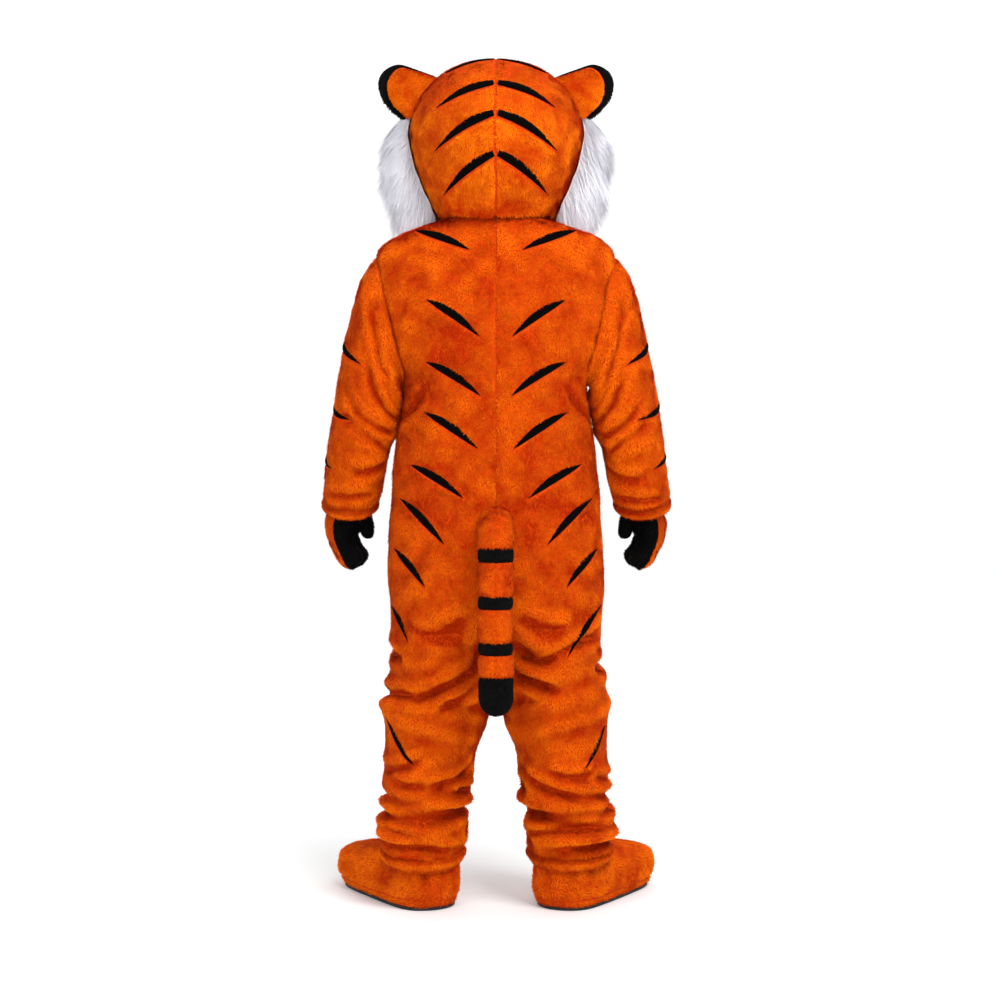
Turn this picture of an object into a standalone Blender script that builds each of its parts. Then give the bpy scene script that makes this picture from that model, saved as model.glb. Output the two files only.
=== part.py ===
"""A plush tiger costume, filled out as it is worn: suit with tail, head, gloves and boots.

Sizes are in millimetres and turned into metres when a mesh is made. The wearer faces +Y and stands
along +Z. The origin lies between the wearer's shoulders, in the middle of the neck. Right is +X.
The cloth is a wall set inward from its outer face. Neighbouring pieces stand 0.3 mm apart at a seam.
"""
import math

import bmesh
import bpy
from mathutils import Vector
from mathutils.bvhtree import BVHTree

# ---------------------------------------------------------------- driving sizes
FLOOR = -1450.0        # height of the ground under the soles
CLOTH = 3.0            # plush: backing and packed pile
HEAD_WALL = 6.0        # plush on foam
BOOT_WALL = 4.0        # plush on felt
GLOVE_WALL = 2.5
SEAM_GAP = 0.3         # space between two pieces that meet at a seam
ON_TOP = 1.2           # height of a stripe's underside over the piece it lies on
STRIPE = 1.0           # thickness of a stripe
SHOULDER_TIP = -45.0   # height of the top of the armhole
ARMPIT = -320.0        # height of the bottom of the armhole
ARMHOLE_SPREAD = 0.32  # half of the armhole's width, as a share of the quarter turn
SEAT = -800.0          # height where the seat begins to curve under
CROTCH = -927.0        # height of the crotch
HEM_TOP = -1318.0      # height of the leg's last row before it is tilted, where the hem band begins
HEM_TILT_FROM = -1170.0   # height where the leg's rows start to tilt
HEM_BAND = 26.0        # height of the leg's hem band
HEM_FACING = 15.0      # degrees between straight ahead and the way the hem rises
CUFF_BAND = 24.0       # length of the sleeve's cuff band
PANEL_COLUMNS = 6      # columns across the back or the front of one half
SLEEVE_POINTS = 16     # points round a sleeve
BOOT_TURN = 32.0       # degrees that a toe turns outward
ANKLE_X = 160.0        # sideways distance of an ankle from the middle
TAIL_RADIUS = 36.0

# ---------------------------------------------------------------- colours
ORANGE = (0.84, 0.16, 0.012)
BLACK = (0.012, 0.011, 0.011)
WHITE = (0.80, 0.78, 0.74)
RUBBER = (0.02, 0.02, 0.021)
EYE = (0.01, 0.01, 0.012)

SIDES = {"left": -1, "right": 1}


def table(names, rows):
    """A table with named columns. Its first column is the key, which rises or falls all the way."""
    columns = {}
    for place, name in enumerate(names.split()):
        columns[name] = [row[place] for row in rows]
    columns["key"] = columns[names.split()[0]]
    return columns


# Body from the neck down to the hem. Below the crotch, inner and side bound one leg.
BODY = table("height side inner back front", [
    (60, 88, 0, 86, 84),
    (40, 96, 0, 88, 84),
    (26, 140, 0, 92, 84),
    (2, 208, 0, 104, 90),
    (-22, 246, 0, 111, 98),
    (-45, 259, 0, 117, 106),
    (-85, 264, 0, 128, 120),
    (-130, 266, 0, 136, 130),
    (-182, 258, 0, 142, 138),
    (-235, 240, 0, 144, 142),
    (-280, 217, 0, 143, 142),
    (-320, 199, 0, 141, 142),
    (-365, 200, 0, 138, 144),
    (-410, 208, 0, 136, 148),
    (-460, 218, 0, 134, 152),
    (-520, 224, 0, 136, 155),
    (-580, 227, 0, 142, 155),
    (-640, 232, 0, 150, 152),
    (-700, 234, 0, 155, 148),
    (-755, 233, 0, 156, 144),
    (-800, 229, 0, 152, 140),
    (-850, 229, 0, 142, 134),
    (-890, 226, 0, 133, 127),
    (-927, 229, 0, 126, 122),
    (-960, 238, 4, 122, 120),
    (-1010, 244, 10, 117, 116),
    (-1060, 243, 20, 111, 110),
    (-1115, 245, 42, 104, 102),
    (-1167, 248, 50, 100, 98),
    (-1193, 246, 54, 98, 95),
    (-1219, 247, 60, 95, 93),
    (-1245, 254, 69, 95, 95),
    (-1271, 256, 62, 99, 99),
    (-1297, 252, 66, 95, 94),
    (-1318, 249, 71, 89, 89),
    (-1345, 247, 73, 87, 87),
])

# Largest folds of the body. across is in quarter turns from the back seam, 1 is the side.
BODY_FOLDS = table("side across height reach tall slope depth", [
    (-1, 0.35, -1000, 0.45, 16, 90, -7),
    (-1, 0.60, -1045, 0.40, 15, 80, 6),
    (-1, 0.50, -1235, 0.60, 14, -25, -7),
    (-1, 0.80, -1272, 0.50, 13, 30, 7),
    (-1, 0.40, -1205, 0.50, 13, 35, 6),
    (-1, 1.50, -1010, 0.45, 17, -80, -6),
    (-1, 1.50, -1245, 0.55, 15, 30, -7),
    (-1, 0.80, -360, 0.22, 22, -60, -7),
    (1, 0.35, -985, 0.45, 16, 95, -7),
    (1, 0.62, -1035, 0.40, 16, 75, 6),
    (1, 0.45, -1240, 0.60, 14, 25, -7),
    (1, 0.75, -1280, 0.50, 13, -30, 6),
    (1, 0.50, -1210, 0.50, 14, -30, 7),
    (1, 1.50, -1020, 0.45, 17, -85, -6),
    (1, 1.45, -1240, 0.55, 15, -25, -7),
    (1, 0.80, -355, 0.22, 22, -60, -6),
])

# Rows of the body that lie above and below the armhole; the armhole's own rows come from its curve.
ROWS_OVER_ARMHOLE = (60, 40, 26, 10, -10, -28)
ROWS_UNDER_ARMHOLE = (-360, -410, -470, -535, -600, -665, -730, -800, -842, -880, -908, -922, -927)
ROWS_OF_THE_LEG = (-955, -992, -1030, -1070, -1115, -1155, -1185, -1212, -1238, -1266, -1292, -1318)

# One sleeve. outer and inner are the ends of a ring in the frontal plane; forward is its middle.
SLEEVE = table("ring outer_x outer_z inner_x inner_z forward half_depth tilt", [
    (0, 262, -48, 203, -330, 0, 68, 0),
    (1, 288, -82, 207, -346, 2, 74, 0),
    (2, 305, -136, 211, -360, 4, 77, 1),
    (3, 323, -208, 216, -378, 7, 78, 3),
    (4, 340, -284, 221, -402, 11, 77, 6),
    (5, 352, -352, 226, -432, 17, 75, 10),
    (6, 363, -418, 231, -464, 27, 72, 15),
    (7, 371, -478, 238, -500, 40, 69, 20),
    (8, 378, -530, 247, -540, 55, 65, 24),
    (9, 383, -566, 256, -572, 67, 61, 25),
])
SLEEVE_FOLDS = table("side turn ring reach long depth", [
    (-1, 1.30, 3.4, 0.9, 0.45, -6),
    (-1, 1.90, 5.4, 0.9, 0.45, -6),
    (-1, 1.10, 7.2, 0.9, 0.40, 5),
    (1, 1.40, 3.6, 0.9, 0.45, -6),
    (1, 1.80, 5.2, 0.9, 0.45, -6),
    (1, 1.00, 7.0, 0.9, 0.40, 5),
])

# The head from its rim to its top. Its middle lies a little in front of the neck.
HEAD_FORWARD = 18.0
HEAD = table("ring height half_width back front", [
    (0, 30, 128, 124, 118),
    (1, 70, 146, 152, 150),
    (2, 115, 165, 171, 172),
    (3, 160, 180, 184, 184),
    (4, 205, 187, 190, 190),
    (5, 250, 184, 187, 188),
    (6, 290, 170, 172, 175),
    (7, 322, 148, 150, 154),
    (8, 348, 119, 121, 126),
    (9, 366, 84, 86, 90),
    (10, 377, 45, 46, 50),
    (11, 380.5, 0, 0, 0),
])
# Where the hood stops and the face begins, in quarter turns from the back seam.
FACE_EDGE = table("ring across", [
    (0, 1.40),
    (1, 1.38),
    (2, 1.37),
    (3, 1.38),
    (4, 1.41),
    (5, 1.47),
    (6, 1.58),
    (7, 1.76),
    (7.6, 1.93),
    (8, 2.0),
    (11, 2.0),
])
FACE_TOP_RING = 7.6

# Outline of an ear, from the crown round its tip and down to the cheek, and the root on the head.
EAR = table("step root_x root_z rim_x rim_z back_share", [
    (0, 138, 345, 146, 352, 0.9),
    (1, 146, 338, 180, 364, 0.95),
    (2, 155, 329, 216, 374, 0.93),
    (3, 163, 319, 245, 362, 0.86),
    (4, 171, 307, 258, 340, 0.82),
    (5, 178, 295, 255, 314, 0.80),
    (6, 184, 283, 240, 288, 0.78),
    (7, 188, 271, 218, 268, 0.76),
    (8, 191, 260, 199, 257, 0.9),
])
EAR_MIDDLE_Y = 14.0
EAR_SKIN = 4.0
EAR_BULGE = 13.0

# White fur on a cheek: how far out it reaches at each height, and from where to where on the head.
RUFF = table("height outer start_y end_y", [
    (256, 204, 16, 60),
    (232, 227, 2, 84),
    (194, 246, -8, 104),
    (152, 254, -14, 116),
    (112, 252, -16, 120),
    (78, 244, -14, 116),
    (50, 230, -4, 104),
    (34, 214, 10, 88),
])
RUFF_OVER_HEAD = 4.0

# A glove along the hand, from the wrist to the curled finger ends.
GLOVE = table("station height middle_x middle_y half_thick half_broad", [
    (0, -566, 322, 66, 40, 40),
    (1, -592, 327, 79, 41, 43),
    (2, -618, 336, 92, 40, 49),
    (3, -646, 340, 104, 36, 54),
    (4, -672, 335, 113, 34, 54),
    (5, -696, 326, 119, 32, 49),
    (6, -714, 322, 122, 26, 38),
    (7, -725, 321, 123, 13, 20),
    (8, -728, 321, 123, 0, 0),
])
THUMB_STATION = 2.2
THUMB_REACH = 30.0

# A boot over the ground. heel and toe are two circles along the foot, measured from the ankle.
BOOT = table("ring height heel_radius toe_ahead toe_radius", [
    (0, 7.4, 71, 204, 76),
    (1, 30, 78, 206, 86),
    (2, 56, 79, 206, 89),
    (3, 80, 78, 199, 84),
    (4, 94, 75, 178, 68),
    (5, 104, 72, 142, 52),
    (6, 110, 70, 88, 46),
    (7, 114, 69, 34, 52),
    (8, 121, 69, 9, 65),
    (9, 145, 69, 4, 68),
    (10, 172, 69, 3, 69),
])
SOLE_TOP = 7.0

# Bands of the tail under its bend: name, top and bottom height, colour.
TAIL_BEND = 45.0
TAIL_TOP = -578.0
TAIL_PARTS = (
    ("tail_band_1", -661, -691, "black"),
    ("tail_length_1", -691, -761, "orange"),
    ("tail_band_2", -761, -788, "black"),
    ("tail_length_2", -788, -857, "orange"),
    ("tail_band_3", -857, -883, "black"),
    ("tail_length_3", -883, -928, "orange"),
)
TAIL_END = -1012.0

# Stripes on the back and the hood: outer point, inner point, height at the middle, upward bow.
STRIPES = table("step outer_x outer_z inner_x inner_z thick bow", [
    (0, 169, 4, 56, -40, 16, 5),
    (1, 145, -145, 34, -223, 17, 8),
    (2, 146, -275, 32, -347, 17, 8),
    (3, 150, -381, 37, -458, 17, 7),
    (4, 180, -492, 68, -562, 17, 7),
    (5, 203, -564, 108, -659, 16, 6),
    (6, 215, -672, 149, -749, 15, 5),
])
STRIPE_NAMES = ("shoulder", "blade", "ribs", "waist", "loin", "hip", "thigh")
HEAD_STRIPES = table("step outer_x outer_z inner_x inner_z thick bow", [
    (0, 122, 272, 9, 327, 15, 9),
    (1, 126, 173, 9, 248, 17, 10),
    (2, 109, 82, 9, 160, 18, 10),
])

PIECES = {}


# ---------------------------------------------------------------- reading the tables
def read(columns, name, at):
    """Smooth value of one column: a cubic through the rows, with the slopes of their neighbours."""
    keys = columns["key"]
    values = columns[name]
    rising = keys[-1] > keys[0]
    last = len(keys) - 1
    if (at <= keys[0]) == rising or at == keys[0]:
        return float(values[0])
    if (at >= keys[last]) == rising or at == keys[last]:
        return float(values[last])
    step = 0
    while (keys[step + 1] < at) == rising and keys[step + 1] != at:
        step += 1
    span = keys[step + 1] - keys[step]
    share = (at - keys[step]) / span

    def slope(row):
        before = max(0, row - 1)
        after = min(last, row + 1)
        return (values[after] - values[before]) / (keys[after] - keys[before])

    start = values[step]
    end = values[step + 1]
    rise = slope(step) * span
    run = slope(step + 1) * span
    square = share * share
    cube = square * share
    return (start * (2 * cube - 3 * square + 1) + rise * (cube - 2 * square + share)
            + end * (3 * square - 2 * cube) + run * (cube - square))


def rows_of(columns):
    """The rows of a table as small dictionaries."""
    names = [name for name in columns if name != "key"]
    for place in range(len(columns["key"])):
        yield {name: columns[name][place] for name in names}


# ---------------------------------------------------------------- forms
def body_fold(across, height, side):
    """How far the folds move the body's skin out, or in where it is less than zero."""
    moved = 0.0
    for fold in rows_of(BODY_FOLDS):
        if fold["side"] == side:
            away = (across - fold["across"]) / fold["reach"]
            middle = fold["height"] + fold["slope"] * (across - fold["across"])
            over = (height - middle) / fold["tall"]
            moved += fold["depth"] * math.exp(-away * away - over * over)
    return moved


def hem_rise(across):
    """How far the hem lies over its middle height: low at the heel, high on the instep."""
    turn = across * math.pi
    facing = math.radians(HEM_FACING)
    toward_toe = -math.sin(turn) * math.cos(facing) - math.cos(turn) * math.sin(facing)
    return 20.5 * toward_toe + 7.5 * toward_toe * toward_toe - 6.0


def body_plain(across, height):
    """Point of the unfolded body on the right half. across runs 0 back seam, 1 side, 2 front seam."""
    outer = read(BODY, "side", height)
    inner = max(0.0, read(BODY, "inner", height)) if height < CROTCH else 0.0
    back = read(BODY, "back", height)
    front = read(BODY, "front", height)
    turn = across * math.pi / 2
    trunk_x = outer * abs(math.sin(turn)) ** 0.92
    lean = -math.cos(turn)
    trunk_y = math.copysign(abs(lean) ** 0.92, lean) * (back if lean < 0 else front)
    middle = (outer + inner) / 2
    leg_x = middle - (outer - inner) / 2 * math.cos(across * math.pi)
    leg_y = (front - back) / 2 - (front + back) / 2 * math.sin(across * math.pi)
    if height >= SEAT:
        split = 0.0
    elif height <= CROTCH:
        split = 1.0
    else:
        fallen = (SEAT - height) / (SEAT - CROTCH)
        seam = 1.0 - math.sqrt(max(0.0, 1.0 - fallen * fallen))
        beside = min(1.0, across / 0.4, (2 - across) / 0.4)
        beside = beside * beside * (3 - 2 * beside)
        split = seam + (fallen * fallen * (3 - 2 * fallen) - seam) * beside
    x = (1 - split) * trunk_x + split * leg_x
    y = (1 - split) * trunk_y + split * leg_y
    if height < HEM_TILT_FROM:
        fallen = (HEM_TILT_FROM - height) / (HEM_TILT_FROM - HEM_TOP)
        height += hem_rise(across) * fallen * fallen
    return Vector((x, y, height))


def across_of(form, across, along, tiny_across=0.004, tiny_along=0.5):
    """Outward direction of a form at a point, from short steps both ways."""
    side_step = form(across + tiny_across, along) - form(across - tiny_across, along)
    rise_step = form(across, along + tiny_along) - form(across, along - tiny_along)
    normal = side_step.cross(rise_step)
    return normal.normalized() if normal.length > 1e-9 else Vector((0, 0, 1))


def body(across, height, side):
    """Point of the folded body, still on the right half."""
    plain = body_plain(across, height)
    fade = min(1.0, 6 * across, 6 * (2 - across)) if height > CROTCH - 40 else 1.0
    moved = body_fold(across, height, side) * max(0.0, fade)
    if abs(moved) < 0.01:
        return plain
    return plain + across_of(body_plain, across, height) * moved


def armhole_height(turn):
    """Height of the armhole's edge. turn is 0 at the shoulder tip and pi at the armpit."""
    return (SHOULDER_TIP + ARMPIT) / 2 + (SHOULDER_TIP - ARMPIT) / 2 * math.cos(turn)


def armhole_across(height):
    """Half of the armhole's width at a height, in quarter turns."""
    middle = (SHOULDER_TIP + ARMPIT) / 2
    half = (SHOULDER_TIP - ARMPIT) / 2
    share = (height - middle) / half
    if abs(share) >= 1:
        return 0.0
    return ARMHOLE_SPREAD * math.sqrt(1 - share * share)


def sleeve(turn, ring, side):
    """Point of a sleeve on the right side. turn runs from the shoulder over the back to the armpit."""
    outer = Vector((read(SLEEVE, "outer_x", ring), 0, read(SLEEVE, "outer_z", ring)))
    inner = Vector((read(SLEEVE, "inner_x", ring), 0, read(SLEEVE, "inner_z", ring)))
    tilt = math.radians(read(SLEEVE, "tilt", ring))
    depth = read(SLEEVE, "half_depth", ring)
    middle = (outer + inner) / 2 + Vector((0, read(SLEEVE, "forward", ring), 0))
    toward_back = Vector((0, -math.cos(tilt), -math.sin(tilt))) * depth
    point = middle + (outer - inner) / 2 * math.cos(turn) + toward_back * math.sin(turn)
    if ring < 1.5:
        height = armhole_height(turn)
        spread = armhole_across(height)
        edge = body_plain(1 - spread if math.sin(turn) >= 0 else 1 + spread, height)
        share = ring / 1.5
        share = share * share * (3 - 2 * share)
        point = edge * (1 - share) + point * share
    moved = 0.0
    for fold in rows_of(SLEEVE_FOLDS):
        if fold["side"] == side and ring > 1.5:
            away = (turn - fold["turn"]) / fold["reach"]
            along = (ring - fold["ring"]) / fold["long"]
            moved += fold["depth"] * math.exp(-away * away - along * along)
    return point + (point - middle).normalized() * moved


def head(across, ring):
    """Point of the head on the right half. across runs 0 back seam, 1 side, 2 front seam."""
    turn = across * math.pi / 2
    lean = -math.cos(turn)
    reach = read(HEAD, "back" if lean < 0 else "front", ring)
    height = read(HEAD, "height", ring)
    if ring < 2:
        height += (1 - ring / 2) ** 2 * 11 * math.sin(turn) ** 2
    x = read(HEAD, "half_width", ring) * math.sin(turn)
    return Vector((x, HEAD_FORWARD + lean * reach, height))


def head_side(y, height):
    """Sideways distance of the head's skin at a point of its side."""
    low = 0.0
    high = 10.0
    for _ in range(30):
        ring = (low + high) / 2
        if head(1.0, ring).z < height:
            low = ring
        else:
            high = ring
    reach = read(HEAD, "front" if y > HEAD_FORWARD else "back", low)
    share = min(1.0, abs(y - HEAD_FORWARD) / reach)
    return read(HEAD, "half_width", low) * math.sqrt(1 - share * share)


def glove(turn, station):
    """Point of a glove on the right side. turn runs 0 outside, over the back to pi at the palm."""
    x = read(GLOVE, "middle_x", station) + read(GLOVE, "half_thick", station) * math.cos(turn)
    y = read(GLOVE, "middle_y", station) - read(GLOVE, "half_broad", station) * math.sin(turn)
    thumb_turn = (turn - math.pi * 0.93) / 0.62
    thumb_along = (station - THUMB_STATION) / 0.85
    x -= THUMB_REACH * math.exp(-thumb_turn * thumb_turn - thumb_along * thumb_along)
    return Vector((x, y, read(GLOVE, "height", station)))


def boot(turn, ring):
    """Point of a boot on the right side. turn runs 0 toe, round the outside, to pi at the heel."""
    heel = read(BOOT, "heel_radius", ring)
    toe = read(BOOT, "toe_radius", ring)
    ahead = read(BOOT, "toe_ahead", ring)
    along = math.cos(turn)
    aside = math.sin(turn)
    share = 0.5 + 0.5 * math.tanh(along * 4)
    radius = heel + (toe - heel) * share
    forward = ahead * share + radius * along
    sideways = radius * aside
    angle = math.radians(BOOT_TURN)
    x = ANKLE_X + forward * math.sin(angle) + sideways * math.cos(angle)
    y = forward * math.cos(angle) - sideways * math.sin(angle)
    return Vector((x, y, FLOOR + read(BOOT, "height", ring)))


# ---------------------------------------------------------------- making solids
def material(name, colour, roughness):
    made = bpy.data.materials.get(name)
    if made is None:
        made = bpy.data.materials.new(name)
        made.use_nodes = True
        shader = made.node_tree.nodes["Principled BSDF"]
        shader.inputs["Base Color"].default_value = (*colour, 1.0)
        shader.inputs["Roughness"].default_value = roughness
        shader.inputs["Metallic"].default_value = 0.0
    return made


def save(name, vertices, faces, side, colour):
    """One closed body from points in millimetres of the right half, mirrored for the left."""
    mesh = bpy.data.meshes.new(name)
    placed = [(side * point.x * 0.001, point.y * 0.001, point.z * 0.001) for point in vertices]
    mesh.from_pydata(placed, [], faces)
    shape = bmesh.new()
    shape.from_mesh(mesh)
    bmesh.ops.triangulate(shape, faces=[face for face in shape.faces if len(face.verts) > 3],
                          quad_method="SHORT_EDGE")
    bmesh.ops.recalc_face_normals(shape, faces=shape.faces[:])
    shape.to_mesh(mesh)
    shape.free()
    for face in mesh.polygons:
        face.use_smooth = True
    piece = bpy.data.objects.new(name, mesh)
    bpy.context.scene.collection.objects.link(piece)
    looks = {
        "orange": ("orange_plush", ORANGE, 0.9),
        "black": ("black_plush", BLACK, 0.85),
        "satin": ("black_satin", BLACK, 0.5),
        "white": ("white_fur", WHITE, 0.95),
        "rubber": ("sole_rubber", RUBBER, 0.7),
        "eye": ("eye_plastic", EYE, 0.15),
    }
    title, tone, roughness = looks[colour]
    mesh.materials.append(material(title, tone, roughness))
    PIECES[name] = piece
    return piece


def edge_moved(grid, gap, round_about, edges):
    """The grid with its outer rows and columns moved half a gap toward their own neighbours."""
    rows = len(grid)
    columns = len(grid[0])
    moved = [[point.copy() for point in row] for row in grid]
    half = gap / 2

    def pull(row, column, to_row, to_column):
        step = grid[to_row][to_column] - grid[row][column]
        if step.length > 1e-6:
            moved[row][column] += step.normalized() * half

    for column in range(columns):
        if "start" in edges:
            pull(0, column, 1, column)
        if "end" in edges:
            pull(rows - 1, column, rows - 2, column)
    if not round_about:
        for row in range(rows):
            pull(row, 0, row, 1)
            pull(row, columns - 1, row, columns - 2)
    return moved


def wall(name, grid, normals, thickness, side, colour, round_about=False, pole=False, gap=SEAM_GAP,
         edges=("start", "end")):
    """A closed wall from a grid of outer points. With pole, the last row is one point."""
    body_rows = grid[:-1] if pole else grid
    body_normals = normals[:-1] if pole else normals
    outer = edge_moved(body_rows, gap, round_about, edges if not pole else edges[:1])
    rows = len(outer)
    columns = len(outer[0])
    vertices = []
    for row in outer:
        vertices.extend(row)
    for row, row_normals in zip(outer, body_normals):
        vertices.extend(point - normal * thickness for point, normal in zip(row, row_normals))
    inside = rows * columns
    faces = []

    def outer_at(row, column):
        return row * columns + column % columns

    def inner_at(row, column):
        return inside + row * columns + column % columns

    spans = columns if round_about else columns - 1
    for row in range(rows - 1):
        for column in range(spans):
            faces.append((outer_at(row, column), outer_at(row, column + 1),
                          outer_at(row + 1, column + 1), outer_at(row + 1, column)))
            faces.append((inner_at(row, column), inner_at(row + 1, column),
                          inner_at(row + 1, column + 1), inner_at(row, column + 1)))
    for column in range(spans):
        faces.append((outer_at(0, column + 1), outer_at(0, column),
                      inner_at(0, column), inner_at(0, column + 1)))
        if not pole:
            faces.append((outer_at(rows - 1, column), outer_at(rows - 1, column + 1),
                          inner_at(rows - 1, column + 1), inner_at(rows - 1, column)))
    if not round_about:
        for row in range(rows - 1):
            faces.append((outer_at(row, 0), outer_at(row + 1, 0),
                          inner_at(row + 1, 0), inner_at(row, 0)))
            faces.append((outer_at(row + 1, columns - 1), outer_at(row, columns - 1),
                          inner_at(row, columns - 1), inner_at(row + 1, columns - 1)))
    if pole:
        top = len(vertices)
        tip = grid[-1][0].copy()
        if not round_about:
            tip.x += gap / 2
        vertices.append(tip)
        vertices.append(tip - normals[-1][0] * thickness)
        for column in range(spans):
            faces.append((outer_at(rows - 1, column), outer_at(rows - 1, column + 1), top))
            faces.append((inner_at(rows - 1, column + 1), inner_at(rows - 1, column), top + 1))
        if not round_about:
            faces.append((outer_at(rows - 1, 0), top, top + 1, inner_at(rows - 1, 0)))
            faces.append((top, outer_at(rows - 1, columns - 1), inner_at(rows - 1, columns - 1),
                          top + 1))
    return save(name, vertices, faces, side, colour)


def solid(name, rings, side, colour, tip=None, start_tip=None):
    """A closed solid through rings of points, capped flat or brought to a point."""
    count = len(rings[0])
    vertices = []
    for ring in rings:
        vertices.extend(ring)
    faces = []
    for row in range(len(rings) - 1):
        for column in range(count):
            near = (column + 1) % count
            faces.append((row * count + column, row * count + near,
                          (row + 1) * count + near, (row + 1) * count + column))
    last = (len(rings) - 1) * count
    if start_tip is None:
        faces.append(tuple(range(count))[::-1])
    else:
        vertices.append(start_tip)
        faces.extend(((column + 1) % count, column, len(vertices) - 1) for column in range(count))
    if tip is None:
        faces.append(tuple(last + column for column in range(count)))
    else:
        vertices.append(tip)
        faces.extend((last + column, last + (column + 1) % count, len(vertices) - 1)
                     for column in range(count))
    return save(name, vertices, faces, side, colour)


def skin_tree(names):
    """The faceted outer faces of some pieces, to lay other things on, in millimetres."""
    vertices = []
    faces = []
    for name in names:
        mesh = PIECES[name].data
        start = len(vertices)
        vertices.extend(vertex.co * 1000 for vertex in mesh.vertices)
        faces.extend(tuple(start + corner for corner in face.vertices) for face in mesh.polygons)
    return BVHTree.FromPolygons(vertices, faces)


def laid(tree, x, z, from_back, height):
    """The point over a skin at x and z, seen straight from the back or the front."""
    start = Vector((x, -900 if from_back else 900, z))
    hit, normal, _, _ = tree.ray_cast(start, Vector((0, 1 if from_back else -1, 0)))
    if hit is None:
        near, normal, _, _ = tree.find_nearest(Vector((x, -60 if from_back else 60, z)))
        hit = near
    if normal.y * (1 if from_back else -1) > 0:
        normal = -normal
    return hit + normal * height, normal


# ---------------------------------------------------------------- suit
def armhole_rows():
    turns = [math.pi * step / (SLEEVE_POINTS // 2) for step in range(SLEEVE_POINTS // 2 + 1)]
    return [armhole_height(turn) for turn in turns]


def make_suit():
    heights = list(ROWS_OVER_ARMHOLE) + armhole_rows() + list(ROWS_UNDER_ARMHOLE)
    heights += list(ROWS_OF_THE_LEG)
    for word, side in SIDES.items():
        def skin(across, height):
            return body(across, height, side)

        for part, first, last in (("back", 0.0, 1.0), ("front", 1.0, 2.0)):
            grid = []
            normals = []
            for height in heights:
                spread = armhole_across(height)
                begin = first if part == "back" else first + spread
                end = last - spread if part == "back" else last
                row = []
                row_normals = []
                for column in range(PANEL_COLUMNS + 1):
                    across = begin + (end - begin) * column / PANEL_COLUMNS
                    point = skin(across, height)
                    normal = across_of(skin, across, height)
                    if across in (0.0, 2.0):
                        point.x = max(0.0, point.x)
                        if height >= CROTCH:
                            point.x = 0.0
                            normal.x = 0.0
                            normal = normal.normalized()
                        if height == CROTCH:
                            normal = Vector((0, 0, -1))
                    row.append(point)
                    row_normals.append(normal)
                grid.append(row)
                normals.append(row_normals)
            wall(f"{part}_{word}", grid, normals, CLOTH, side, "orange")


def make_sleeves():
    for word, side in SIDES.items():
        def skin(turn, ring):
            return sleeve(turn, ring, side)

        turns = [2 * math.pi * step / SLEEVE_POINTS for step in range(SLEEVE_POINTS)]
        grid = []
        normals = []
        for ring in range(10):
            middle = sum((skin(turn, ring) for turn in turns), Vector()) / SLEEVE_POINTS
            row = [skin(turn, ring) for turn in turns]
            row_normals = []
            for turn, point in zip(turns, row):
                normal = across_of(skin, turn, ring, 0.02, 0.05)
                if normal.dot(point - middle) < 0:
                    normal = -normal
                row_normals.append(normal)
            grid.append(row)
            normals.append(row_normals)
        wall(f"sleeve_{word}", grid, normals, CLOTH, side, "orange", round_about=True, gap=1.2)
        end = grid[-1]
        end_normals = normals[-1]
        down = (grid[-1][0] + grid[-1][8] - grid[-2][0] - grid[-2][8]).normalized()
        band = [
            [point.copy() for point in end],
            [point + down * CUFF_BAND * 0.3 + normal * 2.5 for point, normal in zip(end, end_normals)],
            [point + down * CUFF_BAND * 0.7 + normal * 2.5 for point, normal in zip(end, end_normals)],
            [point + down * CUFF_BAND - normal * 1.5 for point, normal in zip(end, end_normals)],
        ]
        wall(f"cuff_{word}", band, [end_normals] * 4, CLOTH, side, "orange", round_about=True,
             gap=0.6, edges=("start",))


def make_leg_bands():
    for word, side in SIDES.items():
        def skin(across, height):
            return body(across, height, side)

        acrosses = [step / PANEL_COLUMNS for step in range(2 * PANEL_COLUMNS)]
        grid = []
        normals = []
        for share, bulge in ((0.0, 0.0), (0.3, 3.0), (0.7, 3.0), (1.0, -1.0)):
            row = []
            row_normals = []
            for across in acrosses:
                normal = across_of(skin, across, HEM_TOP)
                normal.z = 0
                normal = normal.normalized()
                point = skin(across, HEM_TOP) + normal * bulge
                point.z -= HEM_BAND * share
                row.append(point)
                row_normals.append(normal)
            grid.append(row)
            normals.append(row_normals)
        wall(f"leg_band_{word}", grid, normals, CLOTH, side, "orange", round_about=True, gap=0.6,
             edges=("start",))


# ---------------------------------------------------------------- tail
def tail_ring(height, radius):
    points = []
    for step in range(12):
        turn = 2 * math.pi * step / 12
        x = radius * math.cos(turn)
        y = TAIL_Y - radius * math.sin(turn)
        points.append(Vector((x, y, height)))
    return points


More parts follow.
